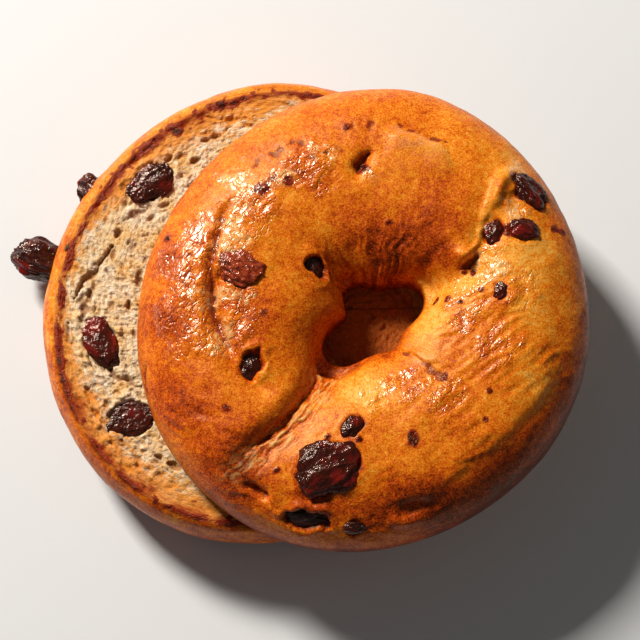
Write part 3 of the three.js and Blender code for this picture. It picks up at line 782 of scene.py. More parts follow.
def bottom_section(turns):
    """Base, lower wall, upper wall and cut face of the bottom half, with rows closest in the open crumb."""
    base_rows, lower_rows, upper_rows, face_rows, hole_rows = 8, 20, 9, 104, 9
    turn = np.linspace(0, 2 * math.pi, 4001)
    density = 1 + 1.9 * smooth(np.cos(turn - math.radians(170)), 0.15, 0.45)
    amount = np.concatenate(([0], np.cumsum((density[1:] + density[:-1]) / 2)))
    turn = np.interp(np.linspace(0, amount[-1], turns, endpoint=False), amount, turn)[:, None]
    outer, hole = ring_edges(turn)
    width = (outer - hole) * bottom_spread
    quarter = np.linspace(0, math.pi / 2, lower_rows, endpoint=False)[None]
    climb = np.linspace(0, 1, upper_rows, endpoint=False)[None]
    row_share = np.linspace(0, 1, face_rows)[None]
    face_share = np.where(row_share < 0.84, row_share * 0.68 / 0.84, 0.68 + (row_share - 0.84) * 2)
    hole_quarter = np.linspace(0, math.pi / 2, hole_rows, endpoint=False)[None, ::-1]
    hole_climb = np.linspace(0, 1, 5, endpoint=False)[None, ::-1]
    base_share = np.linspace(0, 1, base_rows + 2)[None, 1:-1]
    one = np.ones_like(width)
    outer_edge = 1 - 2 * bottom_tuck[0] / width
    hole_edge = -1 + 2 * bottom_tuck[1] / width
    base_outer = 1 - 2 * base_inset[0] / width
    base_hole = -1 + 2 * base_inset[1] / width
    rise = bottom_height - bottom_widest
    parts = (
        (1 - 2 * base_inset[0] * (1 - np.sin(quarter)) / width,
         one * bottom_widest * (1 - np.cos(quarter)), 0),
        (1 - 2 * bottom_tuck[0] * climb ** 2 / width, one * (bottom_widest + rise * climb), 0),
        (outer_edge + (hole_edge - outer_edge) * face_share, one * bottom_height + 0 * face_share, 1),
        (-1 + 2 * bottom_tuck[1] * hole_climb ** 2 / width, one * (bottom_widest + rise * hole_climb), 0),
        (-1 + 2 * base_inset[1] * (1 - np.sin(hole_quarter)) / width,
         one * bottom_widest * (1 - np.cos(hole_quarter)), 0),
        (base_hole + (base_outer - base_hole) * base_share, 0 * one + 0 * base_share, 0),
    )
    across = np.concatenate([part[0] for part in parts], 1)
    level = np.concatenate([part[1] for part in parts], 1)
    cut = np.concatenate([np.full(part[0].shape, part[2], float) for part in parts], 1)
    turn = np.broadcast_to(turn, across.shape)
    plan = ring_point(turn, across) * bottom_spread
    return np.concatenate((plan, level[..., None]), -1), turn, across, cut


points, turn, across, cut = bottom_section(640)
print("bottom grid:", points.shape[:2])

# %% [markdown]
# Crumb is a foam: bubbles of many sizes, stretched along the ring by the rolling. They could be cut out
# with booleans, but a thousand small cuts are slow and break easily. Here the cut face sinks into each
# bubble, in three sizes. The wider pores and the tears that the knife left are listed, a pore with its
# place and radius, and a tear with its corners, depth and half width.

# %% Relief of the crumb
crumb_radius = 40
tears = (
    (((-46.8, 2.2), (-44.5, 6.1), (-41.4, 9.3), (-37.5, 14.5)), 1.5, 0.75),
    (((-37.6, -17.3), (-34.2, -18.1), (-30.4, -19.5)), 0.9, 0.55),
    (((-47.6, -4.7), (-47.8, -7.0), (-47.3, -9.4)), 1.0, 0.5),
    (((-18.1, 47.5), (-12.0, 46.4), (-6.5, 46.5)), 0.9, 0.5),
    (((-36.0, 20.5), (-32.5, 22.5), (-29.0, 24.2)), 0.8, 0.6),
)
wide_pores = (
    ((-43.2, 2.4), 1.3), ((-44.2, -0.9), 1.5), ((-31.1, 6.1), 1.3), ((-33.6, 0.2), 0.9), ((-9.4, 46.3), 1.4),
    ((-13.1, 42.2), 1.0), ((-15.4, 41.4), 1.0), ((-18.1, 36.0), 1.1), ((-42.6, -21.6), 1.4),
    ((-41.0, -26.2), 1.0), ((-22.2, -38.8), 1.3), ((-30.8, -38.8), 0.8), ((-34.4, -33.3), 0.8),
    ((-26.0, -36.8), 0.8), ((-36.5, 18.0), 1.2), ((-24.5, 36.5), 0.9),
)


def flat_line(corners):
    """A path at the cut face through plan corners."""
    return np.array([(x, y, bottom_height) for x, y in corners])


def crumb_relief(points, turn):
    """Depth of the crumb below the cut face: three scatters of bubbles stretched along the ring, the listed
    wide pores and tears, and a slow unevenness of the knife's cut."""
    around = turn * crumb_radius
    inward = np.hypot(points[..., 0], points[..., 1])
    warp = 0.7 * lumps(points, 3.0, 70) + 0.3 * lumps(points, 1.2, 75)
    large = bubbles(around + warp, inward + warp, (4.4, 2.6), (1.5, 0.62), 0.42, 22, 0.5)
    middle = bubbles(around + warp, inward - warp, (2.1, 1.2), (0.85, 0.40), 0.7, 23, 0.7)
    small = bubbles(around - warp, inward + warp, (1.05, 0.8), (0.46, 0.32), 0.85, 24, 1.2)
    depth = np.maximum(np.maximum(1.0 * large, 0.65 * middle), 0.34 * small)
    for number, (at, radius) in enumerate(wide_pores):
        away = points[..., :2] - np.array(at)
        heading = math.atan2(at[1], at[0])
        u = (away[..., 1] * math.cos(heading) - away[..., 0] * math.sin(heading)) / (1.4 * radius)
        v = (away[..., 0] * math.cos(heading) + away[..., 1] * math.sin(heading)) / (0.7 * radius)
        reach = np.hypot(u, v) + 0.5 * lumps(points, 1.3, 71 + number)
        depth = np.maximum(depth, 1.5 * np.sqrt(np.clip(1 - reach ** 2, 0, 1)))
    for corners, tear_depth, tear_reach in tears:
        signed, share = line_field(points, flat_line(corners))
        signed = signed + 0.8 * lumps(points, 2.0, 72) + 0.3 * lumps(points, 0.9, 76)
        wide = tear_reach * (0.4 + 0.9 * run_out(share, (0.5, 0.5)))
        depth = np.maximum(depth, tear_depth * np.clip(1 - (signed / wide) ** 2, 0, 1) ** 0.6)
    uneven = 0.30 * lumps(points, 7, 73) + 0.20 * lumps(points, 2.6, 74) + 0.10 * lumps(points, 1.1, 77)
    return depth, 0.34 + uneven


def cut_seats(points):
    """The ragged seats of the raisins in the cut face, and the torn crumb that stands up round them."""
    sunk = np.zeros(points.shape[:-1])
    torn = np.zeros_like(sunk)
    for name in ("raisin_cut_upper", "raisin_cut_left", "raisin_cut_lower"):
        rim = raisin_offset(points, bottom_raisins[name])
        rim = rim + 0.5 * lumps(points, 2.2, 80) + 0.25 * lumps(points, 0.9, 81)
        sunk = np.maximum(sunk, 1 - smooth(rim, -0.5, 0.35))
        ring = np.exp(-((rim - 1.5) / 1.3) ** 2)
        torn = np.maximum(torn, ring * smooth(lumps(points, 2.4, 78), -0.2, 0.3))
    return sunk, torn


pore, uneven = crumb_relief(points, turn)
seats, torn = cut_seats(points)
print("share of the cut face in bubbles:", round(float((pore > 0.1)[cut > 0].mean()), 2))

# %% [markdown]
# The edge of the cut face is toasted. Going in from the rim there is a thin rind of crust, a dark
# scorched line with blisters and drops, and then a gold that fades into the crumb. The line is wider at
# two places, named here for the way that they face. The crumb that shows through the top half's hole is
# darkened too, as painted shade of the hole, through the toast mask.

# %% Toasted edge of the cut face
rim_scale = 22.0
hole_shade_middle, hole_shade_reach = (24.0, -5.0), (11, 17)
scorched_spots = (((-23.2, 43.8), 1.9), ((-11.6, 50.0), 1.3), ((-49.0, 14.0), 1.0))


def facing(turn, degrees, low, high):
    """1 where the ring faces a direction, 0 where the cosine of the angle between falls below low."""
    return smooth(np.cos(turn - math.radians(degrees)), low, high)


def plan_distance(points, at):
    """How far a place is from a plan point, level with the floor."""
    return np.linalg.norm(points[..., :2] - np.array(at), axis=-1)


rim_distance = (1 - across) * rim_scale - bottom_tuck[0]
blister = folds(points, 1.3, 82) * (0.5 + 0.5 * lumps(points, 4, 83))
toward_top, toward_low = facing(turn, 118, 0.75, 0.97), facing(turn, 236, 0.62, 0.94)
ragged = 1.1 * lumps(points, 4.5, 91) + 0.8 * lumps(points, 1.8, 92) + 0.4 * lumps(points, 0.9, 93)
toast = np.exp(-np.clip(rim_distance + 0.8 * ragged, 0, 60) / (1.7 + 2.8 * toward_top + 2.6 * toward_low))
scorch_width = 0.60 + 0.60 * lumps(points, 6, 94) + 0.30 * toward_top + 0.55 * toward_low
scorch_middle = 1.0 + 0.4 * toward_top - 1.1 * toward_low - 0.45 * ragged
scorch = np.exp(-np.abs((rim_distance - scorch_middle) / np.clip(scorch_width, 0.3, 3)) ** 1.6)
drops = smooth(lumps(points, 1.6, 95), 0.22, 0.45) * np.exp(-np.clip(rim_distance, 0, 60) / 3.0)
scorch = scorch * (0.35 + 0.65 * smooth(lumps(points, 5, 98), -0.35, 0.1))
scorch = scorch + 0.6 * drops * (toward_top + toward_low + 0.3)
for at, radius in scorched_spots:
    reach = plan_distance(points, at) / radius + 0.7 * lumps(points, 1.8, 99)
    scorch = np.maximum(scorch, 1.3 * (1 - smooth(reach, 0.5, 1.2)))
# Painted shade on the crumb seen through the top half's hole.
from_middle = plan_distance(points, hole_shade_middle) + 2.0 * lumps(points, 5, 97)
hole_shade_on_crumb = 1 - smooth(from_middle, *hole_shade_reach)
print("scorched share of the cut face:", round(float((scorch > 0.5)[cut > 0].mean()), 3))

# %% [markdown]
# The skin of the bottom half is the grid sunk by the crumb's relief on the cut face, and swelled along
# its normals on the wall. The wall also rises in a low collar round each raisin that sticks out of it.
# The masks for both finishes are stored on the mesh.

# %% Make the bottom half
collars = (
    dict(toward=144.5, level=13.2, size=(7, 6), rise=0.9),
    dict(toward=166, level=8.8, size=(9, 8), rise=1.1),
)


def collar_rise(points, collar):
    """rise * exp(-q^2) over an oval on the wall, q being the distance from its middle in half sizes."""
    beside = turned(points, collar["toward"])
    width, height = collar["size"]
    q = np.hypot(2 * beside[..., 1] / width, 2 * (points[..., 2] - collar["level"]) / height)
    return collar["rise"] * np.exp(-q ** 2) * (beside[..., 0] > 0)


firm = smooth(rim_distance, 0.2, 2.2)
sink = pore * (0.25 + 0.75 * firm) * (1 - 0.6 * toast) + uneven * firm + 1.2 * seats
sink -= 0.25 * scorch * blister
open_crumb = smooth(plan_distance(points, slide[:2]), 57, 58.5)
stands_up = open_crumb * torn * (0.8 + 0.5 * lumps(points, 1.2, 79)) * (1 - seats)
skin = points.copy()
skin[..., 2] += cut * (stands_up - np.clip(sink, 0, 3) - 0.35 * (1 - smooth(rim_distance, 0, 0.9)))
wall = (1 - cut) * smooth(points[..., 2], 1.5, 6)
dough = 0.4 * lumps(points, 12, 84) + 0.14 * lumps(points, 4, 85) + 0.05 * lumps(points, 1.6, 86)
edge_blister = 0.42 * blister * np.exp(-np.abs(points[..., 2] - 20) / 1.6) * smooth(points[..., 2], 15, 18)
swell = wall * (dough + edge_blister) + (1 - cut) * sum(collar_rise(points, collar) for collar in collars)
skin += grid_normals(points) * swell[..., None]
skin[..., 2] = np.maximum(skin[..., 2], 0)

streaky = lumps(np.stack((turn * 12, points[..., 2] / 1.6, 0 * turn), -1), 1.0, 96)
low_wall = 1 - smooth(points[..., 2], 2, 16)
high_wall = smooth(points[..., 2] + 4 * lumps(points, 4, 89), 12, 19)
# The wall's brown tone: slow noise and streaks, painted shade darker towards -y where the wall faces away
# from the lamp, darker low on the wall, and a little darker high up on the lower-left side.
brown = 0.36 + 0.16 * lumps(points, 9, 87) + 0.10 * lumps(points, 3, 88) + 0.22 * streaky
brown += 0.12 * smooth(-points[..., 1], 0, 50) + 0.4 * low_wall + 0.10 * toward_low * high_wall
# The toast mask holds the toasted edge and the painted shade under the top half's hole.
toast_and_hole_shade = np.maximum(toast * (1.1 + 0.5 * lumps(points, 6, 90)), 0.85 * hole_shade_on_crumb)
masks = {
    "brown": np.clip(brown, 0, 1),
    "scorch": np.clip(scorch, 0, 1.2) * cut,
    "rind": (1 - smooth(rim_distance + 0.25 * ragged, 0.1, 0.9)) * cut,
    "toast": np.clip(toast_and_hole_shade, 0, 1) * cut,
    # Painted shade inside the bubbles.
    "pore": np.clip(pore / 0.9, 0, 1) * cut,
    "seat": seats * cut,
    "gloss": (1 - cut) * 0.25 * blister,
    "ringwise": np.stack((turn * crumb_radius, plan_distance(points, (0, 0)), points[..., 2]), -1) * MM,
}
turns, rows = points.shape[:2]
looks = ((cut + np.roll(cut, -1, 1)) > 1).reshape(-1).astype(int)
bottom_half = fill_mesh("bottom_bread", skin + bottom_centre, ring_faces(turns, rows), masks, looks)
print("bottom half:", 2 * turns * rows, "triangles")

# %% [markdown]
# A raisin is a grape that lost its water: the skin is too large for the flesh and folds into deep,
# sharp furrows. The shape is a ball whose radius is cut by ridged noise of two sizes, then squashed
# to a low cap above its middle and a deeper root below it, which the dough hides.

# %% Make the raisins
def ball_grid(rings, spokes):
    """Unit directions of a ball by rings from pole to pole, and its faces, with fans at the two poles."""
    tilt = np.linspace(0, math.pi, rings + 1)[1:-1, None]
    spin = np.linspace(0, 2 * math.pi, spokes, endpoint=False)[None]
    body = np.stack((np.sin(tilt) * np.cos(spin), np.sin(tilt) * np.sin(spin), np.cos(tilt) + 0 * spin), -1)
    directions = np.vstack(((0, 0, 1), body.reshape(-1, 3), (0, 0, -1)))
    index = 1 + np.arange((rings - 1) * spokes).reshape(rings - 1, spokes)
    upper, lower = index[:-1], index[1:]
    quads = np.stack((upper, lower, np.roll(lower, -1, 1), np.roll(upper, -1, 1)), -1).reshape(-1, 4)
    last = len(directions) - 1
    north = [(0, a, b) for a, b in zip(index[0], np.roll(index[0], -1))]
    south = [(last, b, a) for a, b in zip(index[-1], np.roll(index[-1], -1))]
    return directions, quads.tolist() + north + south


def raisin_shape(directions, raisin, seed):
    """A squashed ball with sharp crests and smooth hollows between. Its radius is a base + slow noise that
    makes the outline uneven + ridged noise drawn out along the raisin + finer ridged noise."""
    shifted = directions * (0.6, 1.0, 1.0) + seed * 7.3
    uneven = 0.18 if "level" in raisin else 0.32
    radius = 0.92 + uneven * lumps(directions + seed * 3.1, 0.9, seed)
    radius = radius + 0.19 * folds(shifted, 0.62, seed + 1) ** 1.5
    radius = radius + 0.08 * folds(shifted, 0.28, seed + 2) - 0.02
    height = np.where(directions[:, 2] > 0, raisin["cap"], raisin["root"])
    reach = np.stack((np.full(len(directions), raisin["size"][0] / 2),
                      np.full(len(directions), raisin["size"][1] / 2), height), -1)
    middle, axes = raisin_frame(raisin)
    return middle + (directions * reach * radius[:, None]) @ axes


def make_raisin(name, raisin, centre, seed):
    """The raisin's mesh, with two masks: film, where thin dough veils it, and shade, the painted shade that
    darkens a raisin deep in a hollow.
    """
    rings = 56 if max(raisin["size"]) > 9 else 36
    directions, faces = ball_grid(rings, 2 * rings)
    mesh = bpy.data.meshes.new(name + "_skin")
    places = (raisin_shape(directions, raisin, seed) + centre) * MM
    mesh.from_pydata(places.tolist(), [], faces)
    mesh.polygons.foreach_set("use_smooth", np.ones(len(mesh.polygons), bool))
    veil = 1.0 if name == "raisin_under_skin" else 0.08
    film = veil * (1 - 0.8 * smooth(folds(directions * (0.6, 1, 1) + seed, 0.3, seed + 3), 0.5, 0.95))
    # Painted shade: the raisin in the low hollow is darkened fully, those in other hollows a little.
    painted_shade = 1.0 if name == "raisin_low_hollow" else 0.25 if "hollow" in raisin else 0.0
    for mask_name, values in (("film", film), ("shade", np.full(len(directions), painted_shade))):
        mesh.attributes.new(mask_name, "FLOAT", "POINT").data.foreach_set("value", values.astype(np.float32))
    piece = bpy.data.objects.new(name + "_skin", mesh)
    bpy.context.collection.objects.link(piece)
    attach(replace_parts(piece, name), "root")
    return piece


raisins = [make_raisin(name, raisin, top_centre, 200 + 5 * number)
           for number, (name, raisin) in enumerate(top_raisins.items())]
raisins += [make_raisin(name, raisin, bottom_centre, 300 + 5 * number)
            for number, (name, raisin) in enumerate(bottom_raisins.items())]
print("raisins made:", len(raisins))

# %% [markdown]
# The finishes. Nodes are wired by small helpers, so that each material reads as a list of what it
# is made of. Colours are in linear values.

# %% Helpers for node trees
def new_material(name):
    """A material with one shader wired to its surface."""
    material = bpy.data.materials.new(name)
    material.use_nodes = True
    tree = material.node_tree
    tree.nodes.clear()
    output = tree.nodes.new("ShaderNodeOutputMaterial")
    shader = tree.nodes.new("ShaderNodeBsdfPrincipled")
    tree.links.new(shader.outputs["BSDF"], output.inputs["Surface"])
    return material, tree, shader


def put(tree, socket, value):
    """Wire a socket into another, or set its number or colour."""
    if isinstance(value, bpy.types.NodeSocket):
        tree.links.new(value, socket)
    elif isinstance(value, tuple) and len(value) == 3 and socket.type == "RGBA":
        socket.default_value = (*value, 1)
    else:
        socket.default_value = value


def blend(tree, share, first, second):
    """The first colour where share is 0, the second where it is 1."""
    node = tree.nodes.new("ShaderNodeMix")
    node.data_type = "RGBA"
    for name, value in (("Factor_Float", share), ("A_Color", first), ("B_Color", second)):
        put(tree, next(socket for socket in node.inputs if socket.identifier == name), value)
    return next(socket for socket in node.outputs if socket.identifier == "Result_Color")


def sums(tree, operation, first, second=0.0, third=0.0):
    """A sum of one to three values, such as first * second + third for MULTIPLY_ADD."""
    node = tree.nodes.new("ShaderNodeMath")
    node.operation = operation
    for socket, value in zip(node.inputs, (first, second, third)):
        put(tree, socket, value)
    return node.outputs[0]


def ramp(tree, value, stops):
    """A colour ramp of (place, colour) stops."""
    node = tree.nodes.new("ShaderNodeValToRGB")
    band = node.color_ramp
    while len(band.elements) < len(stops):
        band.elements.new(0.5)
    for element, (place, colour) in zip(band.elements, stops):
        element.position = place
        element.color = (*colour, 1)
    put(tree, node.inputs["Fac"], value)
    return node.outputs["Color"]


def band(tree, value, low, high):
    """0 below low and 1 above high, smoothly."""
    node = tree.nodes.new("ShaderNodeMapRange")
    node.interpolation_type = "SMOOTHSTEP"
    put(tree, node.inputs["Value"], value)
    node.inputs["From Min"].default_value = low
    node.inputs["From Max"].default_value = high
    return node.outputs["Result"]


def noise(tree, place, scale, detail=3.0, roughness=0.55, stretch=None):
    """Noise from 0 to 1, about 0.5, drawn out along an axis where stretch is below 1."""
    if stretch is not None:
        mapping = tree.nodes.new("ShaderNodeMapping")
        mapping.inputs["Scale"].default_value = stretch
        tree.links.new(place, mapping.inputs["Vector"])
        place = mapping.outputs["Vector"]
    node = tree.nodes.new("ShaderNodeTexNoise")
    tree.links.new(place, node.inputs["Vector"])
    node.inputs["Scale"].default_value = scale
    node.inputs["Detail"].default_value = detail
    node.inputs["Roughness"].default_value = roughness
    return node.outputs["Fac"]


def mask(tree, name, field="Fac"):
    """A value, or with field "Vector" a place, that is stored on the mesh."""
    node = tree.nodes.new("ShaderNodeAttribute")
    node.attribute_name = name
    return node.outputs[field]


def bump(tree, height, strength, distance, normal=None):
    """A normal tilted by a height of up to distance metres, laid over another normal if there is one."""
    node = tree.nodes.new("ShaderNodeBump")
    node.inputs["Strength"].default_value = strength
    node.inputs["Distance"].default_value = distance
    put(tree, node.inputs["Height"], height)
    if normal is not None:
        tree.links.new(normal, node.inputs["Normal"])
    return node.outputs["Normal"]


def object_place(tree):
    """The place on the object, in metres, which is the place in the frame as well."""
    return tree.nodes.new("ShaderNodeTexCoord").outputs["Object"]


print("helpers for nodes are ready")

# %% [markdown]
# Ground cinnamon shows in the crust as fine dark specks. A shader group puts out a mask of them: cells
# of a Voronoi pattern whose middles are near, kept only where a slower noise allows, so that they gather
# in drifts.

# %% Shader group: cinnamon specks
def speck_group():
    group = bpy.data.node_groups.new("cinnamon specks", "ShaderNodeTree")
    face = group.interface
    face.new_socket("Vector", in_out="INPUT", socket_type="NodeSocketVector")
    face.new_socket("Scale", in_out="INPUT", socket_type="NodeSocketFloat").default_value = 900
    face.new_socket("Amount", in_out="INPUT", socket_type="NodeSocketFloat").default_value = 0.5
    face.new_socket("Mask", in_out="OUTPUT", socket_type="NodeSocketFloat")
    entry = group.nodes.new("NodeGroupInput")
    leave = group.nodes.new("NodeGroupOutput")
    cells = group.nodes.new("ShaderNodeTexVoronoi")
    group.links.new(entry.outputs["Vector"], cells.inputs["Vector"])
    group.links.new(entry.outputs["Scale"], cells.inputs["Scale"])
    near = band(group, cells.outputs["Distance"], 0.42, 0.12)
    drift = noise(group, entry.outputs["Vector"], 160, 3.0)
    drift = sums(group, "ADD", drift, sums(group, "MULTIPLY_ADD", entry.outputs["Amount"], 0.6, -0.3))
    split = group.nodes.new("ShaderNodeSeparateColor")
    group.links.new(cells.outputs["Color"], split.inputs["Color"])
    kept = sums(group, "LESS_THAN", split.outputs["Red"], sums(group, "MULTIPLY", drift, 0.75))
    group.links.new(sums(group, "MULTIPLY", near, kept), leave.inputs["Mask"])
    return group


specks = speck_group()


def speck_mask(tree, place, scale, amount):
    node = tree.nodes.new("ShaderNodeGroup")
    node.node_tree = specks
    tree.links.new(place, node.inputs["Vector"])
    node.inputs["Scale"].default_value = scale
    node.inputs["Amount"].default_value = amount
    return node.outputs["Mask"]


print("nodes in the speck group:", len(specks.nodes))

# %% [markdown]
# Where the glaze dried it split into a fine net, and each small plate between the splits mirrors the
# light by itself. The net is the edges of Voronoi cells that are longer the way round the ring than
# across it, bent by noise so that no line is straight.

# %% Crackle of the glaze
def crackle_mask(tree, place, scale):
    """1 on the plates and 0 in the splits between them."""
    bend = tree.nodes.new("ShaderNodeTexNoise")
    bend.inputs["Scale"].default_value = scale * 0.9
    tree.links.new(place, bend.inputs["Vector"])
    push = tree.nodes.new("ShaderNodeVectorMath")
    push.operation = "MULTIPLY_ADD"
    push.inputs[1].default_value = (1.2 / scale,) * 3
    tree.links.new(bend.outputs["Color"], push.inputs[0])
    tree.links.new(place, push.inputs[2])
    stretch = tree.nodes.new("ShaderNodeMapping")
    stretch.inputs["Scale"].default_value = (0.42, 1.0, 1.0)
    tree.links.new(push.outputs[0], stretch.inputs["Vector"])
    plates = tree.nodes.new("ShaderNodeTexVoronoi")
    plates.feature = "DISTANCE_TO_EDGE"
    plates.inputs["Scale"].default_value = scale
    tree.links.new(stretch.outputs[0], plates.inputs["Vector"])
    return band(tree, plates.outputs["Distance"], 0.0, 0.15)

# %% [markdown]
# The crust's colour runs from pale dough in the seams through gold and orange-brown to the dark
# red-brown of the low sides, which is partly painted shade. It could be painted, but here the browning
# mask, with the painted shade in it, picks a place on a colour ramp, and noise of three sizes moves that
# place about. Over it lie thin pale skin, torn fibre, red lines that are burnt and partly painted crease
# shade, cinnamon, the scorched edge and the bits of raisin, each by its own mask.

# %% Colour of the crust
crust_stops = (
    (0.0, (0.84, 0.42, 0.08)), (0.20, (0.80, 0.27, 0.014)), (0.42, (0.70, 0.155, 0.003)),
    (0.62, (0.50, 0.068, 0.002)), (0.82, (0.29, 0.028, 0.001)), (1.0, (0.08, 0.008, 0.001)),
)
pale_skin, torn_dough, burnt_red_and_shade = (0.88, 0.52, 0.20), (0.72, 0.43, 0.13), (0.20, 0.016, 0.004)
cinnamon, charred = (0.13, 0.018, 0.002), (0.035, 0.005, 0.002)
raisin_red, raisin_black = (0.26, 0.022, 0.005), (0.045, 0.003, 0.002)


def centred_noise(tree, place, *settings):
    """Noise from about -0.5 to 0.5."""
    return sums(tree, "SUBTRACT", noise(tree, place, *settings), 0.5)


def product(tree, first, second):
    """One value or mask times another."""
    return sums(tree, "MULTIPLY", first, second)


def crust_colour(tree, place, mottle, grain):
    """The ramp by brownness, then each thing that lies over it, blended in by its own mask."""
    blotch = centred_noise(tree, place, 190, 4.0, 0.62)
    tone = sums(tree, "MULTIPLY_ADD", blotch, 0.40, mask(tree, "brown"))
    tone = sums(tree, "MULTIPLY_ADD", mottle, 0.65, tone)
    colour = ramp(tree, sums(tree, "MULTIPLY_ADD", grain, 1.20, tone), crust_stops)
    spread = sums(tree, "ADD", mottle, 0.5)
    torn = band(tree, sums(tree, "MULTIPLY_ADD", blotch, 1.4, spread), 0.40, 0.62)
    pale = sums(tree, "MAXIMUM", product(tree, mask(tree, "lifted"), 0.5), mask(tree, "skin"))
    colour = blend(tree, product(tree, product(tree, pale, torn), 0.75), colour, pale_skin)
    fibre = product(tree, mask(tree, "fibre"), band(tree, spread, 0.30, 0.55))
    colour = blend(tree, product(tree, fibre, 0.85), colour, torn_dough)
    # The red mask blends in burnt red, which along the lobe edge and in the slits is painted shade as well.
    red_and_crease_shade = band(tree, sums(tree, "MULTIPLY_ADD", mottle, 1.2, mask(tree, "red")), 0.25, 0.85)
    colour = blend(tree, product(tree, red_and_crease_shade, 0.9), colour, burnt_red_and_shade)
    drift = band(tree, noise(tree, place, 330, 2.0), 0.50, 0.66)
    dots = product(tree, speck_mask(tree, place, 1500, 0.4), drift)
    colour = blend(tree, product(tree, dots, 0.6), colour, cinnamon)
    colour = blend(tree, mask(tree, "scorch"), colour, charred)
    bits = mask(tree, "bits")
    colour = blend(tree, band(tree, bits, 0.0, 0.6), colour, raisin_red)
    crests = band(tree, sums(tree, "MULTIPLY_ADD", mottle, 2.0, bits), 0.6, 1.2)
    return blend(tree, crests, colour, raisin_black)


print("crust colours:", len(crust_stops))

# %% [markdown]
# The crust's sheen comes from starch that the boiling set on the skin. It lies over the crust like a
# glaze, so it is a coat with its own roughness, kept to the glossy patches. Crinkles drawn out the way
# round the ring and the net of splits bend its light into glints. Dull crust has only fine grain.

# %% Crust material
def make_crust():
    material, tree, shader = new_material("crust")
    place, ringwise = object_place(tree), mask(tree, "ringwise", "Vector")
    mottle = centred_noise(tree, place, 760, 3.0, 0.6)
    grain = centred_noise(tree, place, 2600, 2.0, 0.6)
    put(tree, shader.inputs["Base Color"], crust_colour(tree, place, mottle, grain))
    gloss = sums(tree, "MAXIMUM", mask(tree, "gloss"), mask(tree, "bits"))
    sheen = noise(tree, place, 420, 3.0)
    rough = sums(tree, "MULTIPLY_ADD", gloss, -0.14, sums(tree, "MULTIPLY_ADD", sheen, 0.34, 0.27))
    put(tree, shader.inputs["Roughness"], rough)
    shader.inputs["IOR"].default_value = 1.42
    shader.inputs["Specular IOR Level"].default_value = 0.5
    shader.inputs["Specular Tint"].default_value = (1.0, 0.78, 0.45, 1)
    glaze = product(tree, mask(tree, "gloss"), sums(tree, "MULTIPLY_ADD", sheen, 1.6, 0.2))
    put(tree, shader.inputs["Coat Weight"], product(tree, band(tree, glaze, 0.2, 0.8), 0.68))
    shader.inputs["Coat Roughness"].default_value = 0.20
    shader.inputs["Coat IOR"].default_value = 1.6
    crinkle = sums(tree, "ABSOLUTE", centred_noise(tree, place, 520, 2.0, 0.5))
    crinkle = product(tree, crinkle, sums(tree, "MULTIPLY_ADD", gloss, 0.2, -0.5))
    drawn = sums(tree, "ABSOLUTE", centred_noise(tree, ringwise, 560, 2.0, 0.5, (0.38, 1.0, 1.0)))
    crinkle = sums(tree, "MULTIPLY_ADD", drawn, product(tree, gloss, -1.1), crinkle)
    normal = bump(tree, crinkle, 0.6, 0.0005)
    net = crackle_mask(tree, ringwise, 640)
    put(tree, shader.inputs["Coat Normal"], bump(tree, net, 0.5, 0.0002, normal))
    normal = bump(tree, product(tree, net, gloss), 0.7, 0.0002, normal)
    dull = sums(tree, "MULTIPLY_ADD", sums(tree, "MINIMUM", gloss, 1.0), -0.85, 1.0)
    put(tree, shader.inputs["Normal"], bump(tree, product(tree, grain, dull), 0.30, 0.0002, normal))
    return material


crust = make_crust()
print("crust nodes:", len(crust.node_tree.nodes))

# %% [markdown]
# The crumb. Pale cream with patches a little more yellow or pink, darker and warmer inside each bubble
# as painted shade and light bounced between its walls, and toasted from gold to nearly black towards the
# cut edge. It has no gloss, apart from the burnt edge.

# %% Crumb material
crumb_stops = (
    (0.34, (0.80, 0.68, 0.52)), (0.48, (0.79, 0.60, 0.37)), (0.60, (0.75, 0.47, 0.20)),
    (0.70, (0.74, 0.34, 0.08)),
)
rind_stops = ((0.4, (0.74, 0.20, 0.012)), (0.6, (0.80, 0.34, 0.05)))


